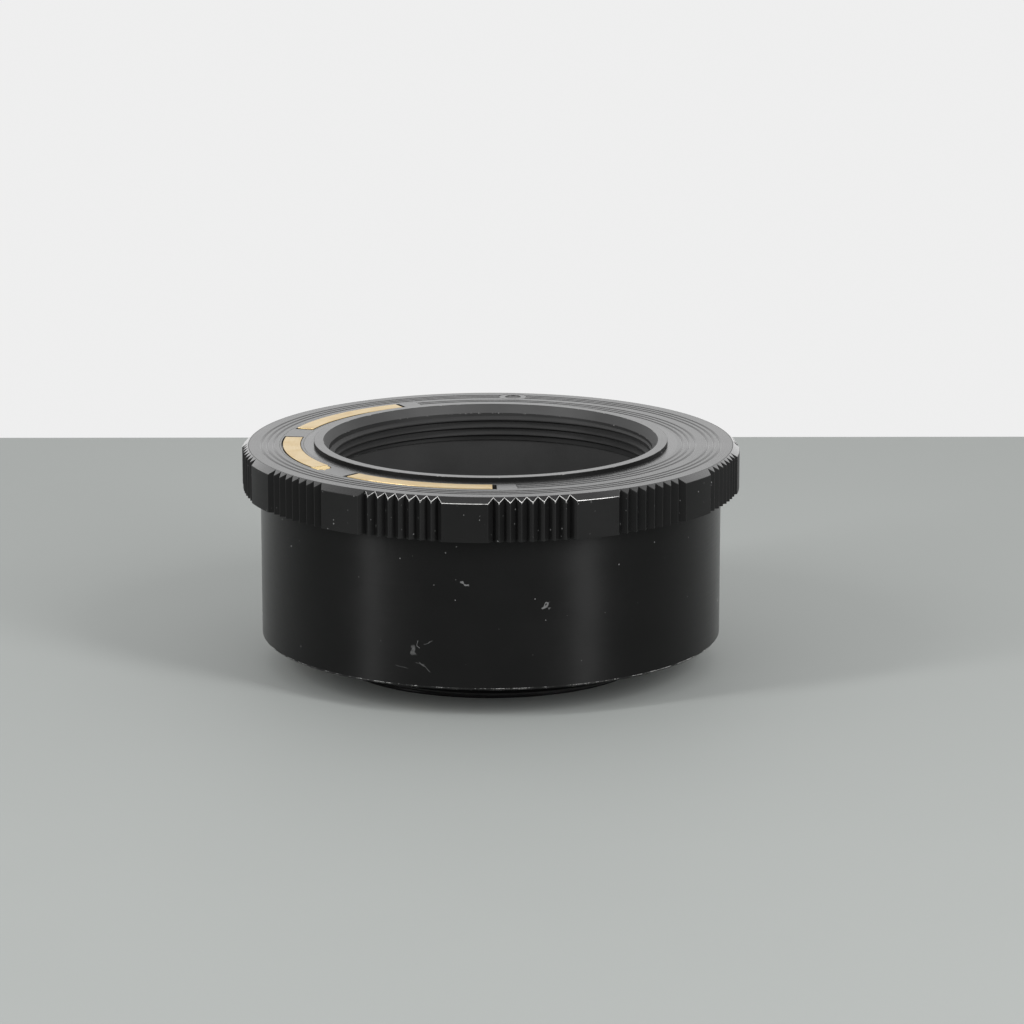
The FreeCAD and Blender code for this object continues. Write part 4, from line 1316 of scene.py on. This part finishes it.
@dataclass
class FrontThreadRing:
    """Bush with the raised lip, the funnel and the female thread, and the light baffle behind it."""

    room: Extent = solid("front_thread_ring")
    sleeve: Extent = solid("inner_sleeve")
    crest_r: float = 20.5
    root_r: float = 21.05
    pitch: float = 1.0
    lip_r: float = 23.0
    lip_round: float = 0.04
    funnel_r: float = 21.75
    funnel_depth: float = 1.12
    ridge: float = 0.82
    thread_start: float = 0.18
    run_out: float = 0.09
    collar: float = 1.0
    sleeve_round: float = 0.08

    def build(self) -> None:
        """Make the ring, its thread and the sleeve."""
        self._build_ring()
        # The ridges take a lighter copy of the black than the thread root: painted light on the thread's crests.
        ridge_painted_light = Anodised(
            "front_thread_painted_light", level=0.028, roughness=0.55, specular=0.25, dust=0.15, seed=6.0).material()
        low, high = self.room.low.z + self.thread_start, self.room.high.z - self.funnel_depth - self.ridge / 2
        thread = Helix.thread(
            self.root_r, self.crest_r, low, high, self.pitch, ridge_width=self.ridge, run_out=self.run_out)
        mount(thread.piece("front_thread", ridge_painted_light), Body.TUBE, "thread_black")
        matt = Baffled("baffle_black").material()
        outer = self.sleeve.radius
        profile = band(outer - SLEEVE_WALL, outer, self.sleeve.low.z, self.sleeve.high.z)
        sleeve = Form().turning(profile, Facets.TUBE).finished("inner_sleeve_turned", matt, self.sleeve_round)
        mount(sleeve, Body.TUBE, "baffle_black", "inner_sleeve")

    def _build_ring(self) -> None:
        """Bush with a copy of its black for each of its walls: much lighter on the funnel as painted sheen, darker on
        the outer walls as painted shade, and darker in the thread root than on the ridges as painted shade.
        """
        black = Anodised(
            "thread_black", level=0.014, roughness=0.3, specular=0.7, coat=0.4, faced=True, dust=0.2, dust_size=0.06,
            seed=4.0).material()
        # The funnel's copy of the black is much lighter: painted sheen where the funnel is seen at a glancing angle.
        funnel_painted_sheen = Anodised(
            "funnel_painted_sheen", level=0.048, roughness=0.52, specular=0.25, dust=0.2, dust_size=0.06, seed=9.0).material()
        # The thread root's copy stays darker than the ridges: painted shade in the thread's grooves.
        root_painted_shade = Anodised(
            "thread_root_painted_shade", level=0.02, roughness=0.52, dust_size=0.06, seed=12.0).material()
        # The outer walls' copy is darker than the lip's top: painted shade on the lip's outer wall.
        outer_wall_painted_shade = Anodised(
            "lip_wall_painted_shade", level=0.006, roughness=0.5, specular=0.12, dust=0.2, seed=11.0).material()
        # Lip edge: rubbed metal with a painted highlight on the round.
        wear_and_glint = WearAndGlintEdge("lip_edge", wear_and_glint_share=0.36, patch=0.5, seed=8.0).material()
        low, top = self.room.low.z, self.room.high.z
        profile = [
            (self.root_r, low), (self.room.radius, low), (self.room.radius, low + self.collar),
            (self.lip_r, low + self.collar), (self.lip_r, top), (self.funnel_r, top),
            (self.root_r, top - self.funnel_depth)]
        form = Form().turning(profile, Facets.TUBE).tidy().soften()
        ring = form.object("front_thread_ring_turned", black, wear_and_glint, funnel_painted_sheen, outer_wall_painted_shade, root_painted_shade)
        # Each face takes its copy by the way it faces: painted sheen on the funnel, painted shade on the outer walls
        # and in the thread root.
        for polygon in ring.data.polygons:
            if abs(polygon.normal.z) < WALL:
                outside = polygon.center.xy.length > self.funnel_r * MM
                polygon.material_index = 3 if outside else 4
            elif polygon.normal.z < FLAT:
                polygon.material_index = 2
        mount(round_edges(ring, self.lip_round, wear_and_glint=True), Body.TUBE, "thread_black", "front_thread_ring")


@dataclass
class Contacts:
    """Gilt arcs in their carrier, and the sprung pins, bushes and rods behind them."""

    ring: Extent = solid("front_ring")
    carrier: Extent = solid("contact_carrier")
    bush: Extent = solid("contact_bush_back")
    rod: Extent = solid("contact_rod_back")
    middle: float = math.radians(200.5)
    spacing: float = math.radians(54.7)
    radius: float = 25.9
    block_step: float = math.radians(1.25)
    carrier_half: float = 1.545
    carrier_span: float = math.radians(165.3)
    carrier_thickness: float = 1.6
    arc_half: float = 1.125
    arc_span: float = math.radians(42.5)
    arc_seat: float = 0.56
    arc_rise: float = 0.06
    arc_round: float = 0.07
    slot_gap: float = 0.15
    slot_shift: float = 0.06
    slot_span: float = math.radians(44.9)
    tongue_setback: float = math.radians(2.2)
    tongue_root: float = 0.3
    tongue_length: float = 1.65
    tongue_half: float = 1.1
    tongue_offset: float = 0.2
    tongue_drop: float = 0.04
    tongue_corner: float = 1.0
    tongue_gap: float = 0.08
    tongue_angle: float = 30.0
    tongue_round: float = 0.08
    boss_r: float = 1.13
    rod_hole_r: float = 0.63
    pin_r: float = 1.3
    pin_dome: float = 1.05
    pin_collar_r: float = 1.5
    pin_collar_low: float = 4.75
    pin_collar_high: float = 5.45
    pin_nose_r: float = 0.65
    pin_round: float = 0.04
    pin_travel: float = 0.8
    bush_lip: float = 0.9
    bush_bore_r: float = 1.55
    bush_lip_r: float = 1.35
    bush_round: float = 0.05
    plug_r: float = 1.52
    plug_height: float = 1.4
    rod_r: float = 0.6
    rod_round: float = 0.04
    coil_r: float = 1.1
    coil_wire: float = 0.3
    coil_turns: float = 4.0
    coil_chords: int = 28

    def build(self) -> None:
        """Make all the contact parts."""
        self._build_carrier()
        for place in Place:
            name = place.value
            centre = polar(self.radius, self._angle(place), 0.0)
            self._build_arc(place)
            self._build_pin(name, (centre.x, centre.y))
            Coil(
                f"spring_{name}", f"contact_spring_{name}", f"pin_{name}_slide", (centre.x, centre.y),
                self.coil_r, self.coil_wire, self.coil_turns, self.coil_chords, self.pin_travel,
            ).build(Bright(f"contact_spring_steel_{name}").material())
        self._build_bushes()
        self._build_rods()

    @property
    def face_z(self) -> float:
        """Height of the ring's face."""
        return self.ring.high.z

    @property
    def seat_z(self) -> float:
        """Height of the arcs' underside."""
        return self.face_z - self.arc_seat

    def _angle(self, place: Place) -> float:
        """Angle of one contact."""
        return self.middle + (list(Place).index(place) - 1) * self.spacing

    def _all_round(self, piece: Piece, material: Material) -> Piece:
        """Repeat a piece at the three places."""
        return Round(len(Place), self.middle - self.spacing, self.spacing).repeat(piece, material)

    def _block(self, angle: float, span: float, middle: float, half: float, low: float, high: float) -> Form:
        """Curved bar about the tube's axis.

        Args:
            angle: Its middle.
            span: Angle that it covers.
            middle: Radius of its middle.
            half: Half its width.
            low: Height of its underside.
            high: Height of its top.

        Returns:
            The bar.
        """
        section = band(middle - half, middle + half, low, high)
        angles = steps(angle - span / 2, angle + span / 2, round(span / self.block_step))
        return Form().loft([[polar(r, a, z) for r, z in section] for a in angles], caps=True)

    def _tongue(self, grow: float, high: float) -> Form:
        """Rounded tongue at the end of the side arc.

        Args:
            grow: Extra room on each side.
            high: Height of its top.

        Returns:
            The tongue.
        """
        angle = self.middle + self.arc_span / 2 - self.tongue_setback
        out = polar(1.0, angle, 0.0)
        ahead = polar(1.0, angle + math.pi / 2, 0.0)
        inner = self.radius + self.tongue_offset - self.tongue_half - grow
        outer = self.radius + self.tongue_offset + self.tongue_half + grow
        corner = self.tongue_corner + grow
        corner_end = self.tongue_length + grow - corner
        outline = [(inner, -self.tongue_root), (outer, -self.tongue_root)]
        outline += rounded_corner((outer - corner, corner_end), corner, 0.0, 90.0)
        outline += rounded_corner((inner + corner, corner_end), corner, 90.0, 180.0)
        points = [out * across + ahead * along + upright(self.seat_z) for across, along in outline]
        return Form().extrusion(points, upright(high - self.seat_z))

    def _build_carrier(self) -> None:
        """Insulating segment with the slots of the arcs and a tube round each rod."""
        black = Moulded("carrier_plastic", roughness=0.34, coat=0.6).material()
        low, cut_top = self.face_z - self.carrier_thickness, self.face_z + CUT_MARGIN
        form = self._block(self.middle, self.carrier_span, self.radius, self.carrier_half, low, self.face_z)
        carrier = form.tidy().object("carrier_moulding", black)
        end_gap = (self.slot_span - self.arc_span) / 2
        for place in Place:
            shorter = self.tongue_setback + end_gap if place is Place.SIDE else 0.0
            shift = -self.slot_shift if place is Place.BACK else self.slot_shift
            cut_away(carrier, self._block(
                self._angle(place) - shorter / 2, self.slot_span - shorter, self.radius + shift,
                self.arc_half + self.slot_gap, self.seat_z, cut_top))
        cut_away(carrier, self._tongue(self.tongue_gap, cut_top))
        mount(carrier, Body.TUBE, "carrier_plastic", "contact_carrier")
        profile = band(self.rod_hole_r, self.boss_r, self.carrier.low.z, low)
        boss = Form().turning(profile, Facets.SCREW, (self.radius, 0.0)).tidy().object("carrier_tubes")
        tubes = self._all_round(boss, black)
        smooth(tubes.data)
        mount(tubes, Body.TUBE, "carrier_plastic", "contact_carrier")

    def _build_arc(self, place: Place) -> None:
        """Gilt arc; the side one ends in the tongue.

        Args:
            place: Which contact it is.
        """
        name = place.value
        gilt = Gilt(f"arc_gilt_{name}").material()
        top = self.face_z + self.arc_rise
        shorter = self.tongue_setback if place is Place.SIDE else 0.0
        form = self._block(
            self._angle(place) - shorter / 2, self.arc_span - shorter, self.radius, self.arc_half, self.seat_z, top)
        arc = form.finished(f"arc_{name}", gilt, self.arc_round, count=3)
        mount(arc, Body.TUBE, "arc_gilt", f"contact_arc_{name}")
        if place is Place.SIDE:
            # The tongue takes a lighter, yellower copy of the arc's gilt: painted highlight on the tab.
            tongue_painted_highlight_gilt = Gilt("tongue_painted_highlight_gilt", (0.94, 0.69, 0.24, 1.0), roughness=0.24).material()
            form = self._tongue(0.0, top - self.tongue_drop)
            tongue = form.finished("arc_side_tongue", tongue_painted_highlight_gilt, self.tongue_round, self.tongue_angle, 3)
            mount(tongue, Body.TUBE, "arc_gilt", f"contact_arc_{name}")

    def _build_pin(self, name: str, centre: Point) -> None:
        """Domed pin with its collar and spring nose.

        Args:
            name: Which contact it is.
            centre: Its axis.
        """
        room = Extent.of(f"contact_pin_{name}")
        dome = rounded_corner((self.pin_r - self.pin_dome, room.low.z + self.pin_dome), self.pin_dome, -90.0, 0.0, 10)
        profile = [
            (0.0, room.low.z), *dome,
            (self.pin_r, self.pin_collar_low), (self.pin_collar_r, self.pin_collar_low),
            (self.pin_collar_r, self.pin_collar_high), (self.pin_nose_r, self.pin_collar_high),
            (self.pin_nose_r, room.high.z), (0.0, room.high.z)]
        gilt = Gilt(f"pin_gilt_{name}", roughness=0.22, centre=centre).material()
        pin = Form().turning(profile, Facets.PIN, centre).finished(f"pin_{name}", gilt, self.pin_round, SHARP)
        mount(pin, Body(f"pin_{name}"), "pin_gilt", f"contact_pin_{name}")

    def _build_bushes(self) -> None:
        """The three insulating bushes."""
        low, high, outer = self.bush.low.z, self.bush.high.z, self.bush.radius
        lip_z = low + self.bush_lip
        profile = [
            (self.bush_lip_r, low), (outer, low), (outer, high),
            (self.bush_bore_r, high), (self.bush_bore_r, lip_z), (self.bush_lip_r, lip_z)]
        plastic = Moulded("bush_plastic", (0.05, 0.028, 0.016, 1.0), 0.4).material()
        form = Form().turning(profile, Facets.PIN, (self.radius, 0.0))
        bushes = self._all_round(form.finished("contact_bushes", plastic, self.bush_round), plastic)
        mount(bushes, Body.TUBE, "bush_plastic", *(f"contact_bush_{place.value}" for place in Place))

    def _build_rods(self) -> None:
        """The three rods with their plugs."""
        low, high = self.rod.low.z, self.rod.high.z
        plug_z = low + self.plug_height
        profile = [
            (0.0, low), (self.plug_r, low), (self.plug_r, plug_z),
            (self.rod_r, plug_z), (self.rod_r, high), (0.0, high)]
        brass = Bright("rod_brass", (0.62, 0.44, 0.18, 1.0), 0.32, (0.30, 0.18, 0.08, 1.0)).material()
        form = Form().turning(profile, Facets.ROD, (self.radius, 0.0))
        rods = self._all_round(form.finished("contact_rods", brass, self.rod_round, SHARP), brass)
        mount(rods, Body.TUBE, "rod_brass", *(f"contact_rod_{place.value}" for place in Place))


@dataclass
class Release:
    """Push rod of the diaphragm with its plate, spring and guide."""

    rod: Extent = solid("release_rod")
    plate: Extent = solid("release_plate")
    plate_screw: Extent = solid("release_plate_screw")
    guide: Extent = solid("release_guide")
    guide_screws: Extent = solid("release_guide_screws")
    centre: Point = (0.0, -17.6)
    angle: float = math.radians(270.0)
    rod_r: float = 1.0
    rod_dome: float = 0.7
    rod_round: float = 0.06
    collar_low: float = 6.05
    collar_high: float = 7.05
    plate_inner: float = 15.7
    plate_outer: float = 19.8
    plate_half: float = math.radians(30.0)
    plate_corner: float = 0.9
    plate_chords: int = 24
    corner_chords: int = 6
    plate_round: float = 0.08
    plate_hole_r: float = 0.53
    plate_shank_r: float = 0.5
    plate_head_height: float = 0.7
    guide_hole_r: float = 1.05
    guide_round: float = 0.05
    sheet: float = 0.8
    foot: float = 3.2
    bend: float = 0.5
    shank_r: float = 0.7
    head_r: float = 1.3
    head_height: float = 0.9
    head_round: float = 0.09
    slot_half: float = 0.2
    slot_depth: float = 0.35
    coil_r: float = 1.45
    coil_wire: float = 0.4
    coil_turns: float = 5.0
    coil_chords: int = 32
    travel: float = 3.5

    def build(self) -> None:
        """Make all the release parts."""
        steel = Bright("release_steel", roughness=0.26).material()
        mount(self._rod(steel), Body.RELEASE, "release_steel", "release_rod")
        mount(self._plate(steel), Body.RELEASE, "release_steel", "release_plate")
        screw_steel = Bright("screw_steel", (0.46, 0.45, 0.44, 1.0), 0.28).material()
        screw = self._screw(
            "plate_screw", self.plate_screw, self.centre, self.plate_shank_r, self.plate_head_height, screw_steel)
        mount(screw, Body.RELEASE, "screw_steel", "release_plate_screw")
        Coil(
            "return_spring", "release_spring", "release_slide", self.centre, self.coil_r, self.coil_wire,
            self.coil_turns, self.coil_chords, self.travel).build(Bright("release_spring_steel").material())
        brass = Bright("guide_brass", (0.50, 0.36, 0.16, 1.0), 0.34, (0.22, 0.15, 0.07, 1.0)).material()
        mount(self._guide(brass), Body.TUBE, "guide_brass", "release_guide")
        reach = self.guide.high.x - self.foot / 2
        pair = self._screw(
            "guide_screws", self.guide_screws, (reach, 0.0), self.shank_r, self.head_height, screw_steel)
        Round(2, 0.0, math.pi, self.centre).repeat(pair, screw_steel)
        mount(pair, Body.TUBE, "screw_steel", "release_guide_screws")

    def _rod(self, steel: Material) -> Piece:
        """Push rod with a domed tip and a stop collar.

        Args:
            steel: Its material.

        Returns:
            The rod.
        """
        low, high, collar = self.rod.low.z, self.rod.high.z, self.rod.radius
        dome = rounded_corner((self.rod_r - self.rod_dome, low + self.rod_dome), self.rod_dome, -90.0, 0.0, 8)
        profile = [
            (0.0, low), *dome, (self.rod_r, self.collar_low), (collar, self.collar_low),
            (collar, self.collar_high), (self.rod_r, self.collar_high), (self.rod_r, high), (0.0, high)]
        return Form().turning(profile, Facets.PIN, self.centre).finished("push_rod", steel, self.rod_round, SHARP)

    def _plate(self, steel: Material) -> Piece:
        """Curved plate with rounded corners and a screw hole.

        Args:
            steel: Its material.

        Returns:
            The plate.
        """
        low, high = self.plate.low.z, self.plate.high.z
        outer_half = self.plate_half - self.plate_corner / self.plate_outer
        inner_half = self.plate_half - self.plate_corner / self.plate_inner
        outline = [polar(self.plate_outer, a, low) for a in steps(-outer_half, outer_half, self.plate_chords)]
        outline += self._plate_corner(self.plate_outer, 1.0, 1.0)
        outline += self._plate_corner(self.plate_inner, 1.0, -1.0)
        outline += [polar(self.plate_inner, a, low) for a in steps(inner_half, -inner_half, self.plate_chords)]
        outline += self._plate_corner(self.plate_inner, -1.0, -1.0)
        outline += self._plate_corner(self.plate_outer, -1.0, 1.0)
        turned = Matrix.Rotation(self.angle, 3, "Z")
        form = Form().extrusion([turned @ point for point in outline], upright(high - low))
        piece = form.finished("release_plate_blank", steel, self.plate_round, SHARP)
        hole = band(0.0, self.plate_hole_r, low - CUT_MARGIN, high + CUT_MARGIN)
        return cut_away(piece, Form().turning(hole, Facets.ROD, self.centre))

    def _plate_corner(self, radius: float, end: float, side: float) -> list[Vector]:
        """Points round one corner of the plate, between its curved side and its end.

        Args:
            radius: Radius of the curved side.
            end: 1 for the end at the larger angle and -1 for the other.
            side: 1 for the outer side and -1 for the inner one.

        Returns:
            The points, in the order in which the outline passes them.
        """
        corner = self.plate_corner
        angle = end * (self.plate_half - corner / radius)
        middle = polar(radius - side * corner, angle, self.plate.low.z)
        across = polar(side * corner, angle, 0.0)
        along = polar(end * corner, angle + math.pi / 2, 0.0)
        swings = steps(0.0, math.pi / 2, self.corner_chords)[1:-1]
        points = [middle + across * math.cos(swing) + along * math.sin(swing) for swing in swings]
        return points if end * side > 0 else points[::-1]

    def _screw(
        self, name: str, room: Extent, centre: Point, shank: float, head_height: float, steel: Material,
    ) -> Piece:
        """Slotted cheese-head screw.

        Args:
            name: Name of the piece.
            room: Room of its solid, for the heights.
            centre: Its axis.
            shank: Radius of the shank.
            head_height: Height of the head.
            steel: Its material.

        Returns:
            The screw.
        """
        low, top = room.low.z, room.high.z
        seat = top - head_height
        profile = [(0.0, low), (shank, low), (shank, seat), (self.head_r, seat), (self.head_r, top), (0.0, top)]
        form = Form().turning(profile, Facets.SCREW, centre)
        piece = form.finished(name, steel, self.head_round, SHARP, 3)
        reach = self.head_r + CUT_MARGIN
        floor = Vector((*centre, top - self.slot_depth))
        sides = band(-self.slot_half, self.slot_half, -reach, reach)
        outline = [floor + Vector((x, y, 0.0)) for x, y in sides]
        return cut_away(piece, Form().extrusion(outline, upright(self.slot_depth + CUT_MARGIN)))

    def _guide(self, brass: Material) -> Piece:
        """Folded strip with two feet and a hole for the rod.

        Args:
            brass: Its material.

        Returns:
            The strip.
        """
        room = self.guide
        low, top, half = room.low.z, room.high.z, room.high.x
        leg = half - self.foot
        inside = leg - self.sheet
        tight, wide = self.bend, self.bend + self.sheet
        right = rounded_corner((inside - tight, top - self.sheet - tight), tight, 90.0, 0.0)
        right += rounded_corner((inside + wide, low + wide), wide, 180.0, 270.0)
        right += [(half, low), (half, low + self.sheet)]
        right += rounded_corner((leg + tight, low + self.sheet + tight), tight, 270.0, 180.0)
        right += rounded_corner((leg - wide, top - wide), wide, 0.0, 90.0)
        left = [(-x, z) for x, z in reversed(right)]
        outline = [Vector((x, room.low.y, z)) for x, z in right + left]
        form = Form().extrusion(outline, Vector((0.0, room.high.y - room.low.y, 0.0)))
        piece = form.finished("guide_strip", brass, self.guide_round, SHARP)
        hole = band(0.0, self.guide_hole_r, top - self.sheet - CUT_MARGIN, top + CUT_MARGIN)
        return cut_away(piece, Form().turning(hole, Facets.SCREW, self.centre))


@dataclass(frozen=True)
class Lamp:
    """Soft strip lamp that faces the object; its turn is to the right of the camera."""

    name: str
    turn: float
    width: float
    power: float
    tall: float = 420.0
    distance: float = 480.0
    height: float = 260.0
    aim_z: float = 12.0

    def build(self, camera_turn: float) -> None:
        """Make the lamp.

        Args:
            camera_turn: Angle of the camera round the object.
        """
        light = bpy.data.lights.new(self.name, "AREA")
        light.shape = "RECTANGLE"
        light.size, light.size_y = self.width * MM, self.tall * MM
        light.energy = self.power
        lamp = bpy.data.objects.new(self.name, light)
        lamp.location = polar(self.distance, math.radians(camera_turn + self.turn - 90.0), self.height) * MM
        lamp.rotation_euler = (upright(self.aim_z * MM) - lamp.location).to_track_quat("-Z", "Y").to_euler()
        bpy.context.scene.collection.objects.link(lamp)


@dataclass
class Studio:
    """Pale floor, soft light and the camera. Lengths are in millimetres and angles in degrees."""

    floor_colour: Colour = (0.30, 0.314, 0.305, 1.0)
    floor_shade: float = 0.97
    floor_grain: float = 30.0
    floor_z: float = -0.02
    floor_front: float = 900.0
    floor_back: float = 135.0
    floor_half: float = 900.0
    backdrop: float = 0.86
    gloss_ahead: float = 1.0
    gloss_aside: float = 0.22
    gloss_edge: float = 0.33
    sky: float = 0.80
    lamps: tuple[Lamp, ...] = (Lamp("left_strip", -60.0, 60.0, 1.75), Lamp("right_strip", 47.0, 110.0, 2.25))
    camera_turn: float = 6.0
    camera_distance: float = 551.1
    camera_rise: float = 13.82
    camera_pitch: float = 13.37
    camera_yaw: float = 0.297
    target_z: float = 15.09
    focal: float = 147.86
    sensor: float = 36.0
    clip: Point = (0.01, 10.0)

    def build(self) -> None:
        """Make the floor, the light and the camera."""
        bpy.context.scene.view_settings.view_transform = "Standard"
        self._build_floor()
        self._build_sky()
        for lamp in self.lamps:
            lamp.build(self.camera_turn)
        self._build_camera()

    def _build_floor(self) -> None:
        """Pale matt floor that ends behind the object."""
        s = Shading("floor_pale")
        shade = tuple(c * self.floor_shade for c in self.floor_colour[:3]) + (1.0,)
        colour = s.blend(s.noise(self.floor_grain, 3.0), shade, self.floor_colour)
        material = s.close({"Base Color": colour, "Roughness": 0.7})
        turn = Matrix.Rotation(math.radians(self.camera_turn), 3, "Z")
        corners = band(-self.floor_half, self.floor_half, -self.floor_front, self.floor_back)
        form = Form()
        form.bm.faces.new([form.bm.verts.new(turn @ Vector((x, y, self.floor_z))) for x, y in corners])
        floor = form.object("floor", material)

    def _build_sky(self) -> None:
        """Even light; a gloss sees it white before and behind the object and darker at the sides and above."""
        world = bpy.data.worlds.new("studio")
        bpy.context.scene.world = world
        world.use_nodes = True
        g = Graph(world.node_tree)
        seen = g.node("ShaderNodeLightPath", output="Is Camera Ray")
        glossy = g.node("ShaderNodeLightPath", output="Is Glossy Ray")
        ahead = g.part(g.node("ShaderNodeTexCoord", output="Generated"), "Y").math("ABSOLUTE")
        gain = ahead.over(self.gloss_edge, 2 * self.gloss_edge)
        mirrored = gain * (self.gloss_ahead - self.gloss_aside) + (self.gloss_aside - self.sky)
        level = seen * (self.backdrop - self.sky) + glossy * mirrored + self.sky
        light = g.node("ShaderNodeBackground", sockets={"Color": grey(1.0), "Strength": level})
        g.node("ShaderNodeOutputWorld", {"is_active_output": True}, {"Surface": light})

    def _build_camera(self) -> None:
        """Camera at the photograph's viewing angle."""
        rise = math.radians(self.camera_rise)
        turn = math.radians(self.camera_turn)
        back = polar(math.cos(rise), turn - math.pi / 2, math.sin(rise))
        lens = bpy.data.cameras.new("camera")
        lens.sensor_width = self.sensor
        lens.lens = self.focal
        lens.clip_start, lens.clip_end = self.clip
        camera = bpy.data.objects.new("camera", lens)
        camera.location = (upright(self.target_z) + back * self.camera_distance) * MM
        camera.rotation_euler = (
            math.radians(90.0 - self.camera_pitch), 0.0, turn - math.radians(self.camera_yaw))
        bpy.context.scene.collection.objects.link(camera)
        bpy.context.scene.camera = camera


def main() -> None:
    """Build the tube and the studio."""
    logging.basicConfig(level=logging.INFO, format="%(name)s: %(message)s")
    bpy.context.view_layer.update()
    for assembly in (Barrel(), FrontRing(), FrontThreadRing(), Contacts(), Release(), Studio()):
        assembly.build()


if __name__ == "__main__":
    main()
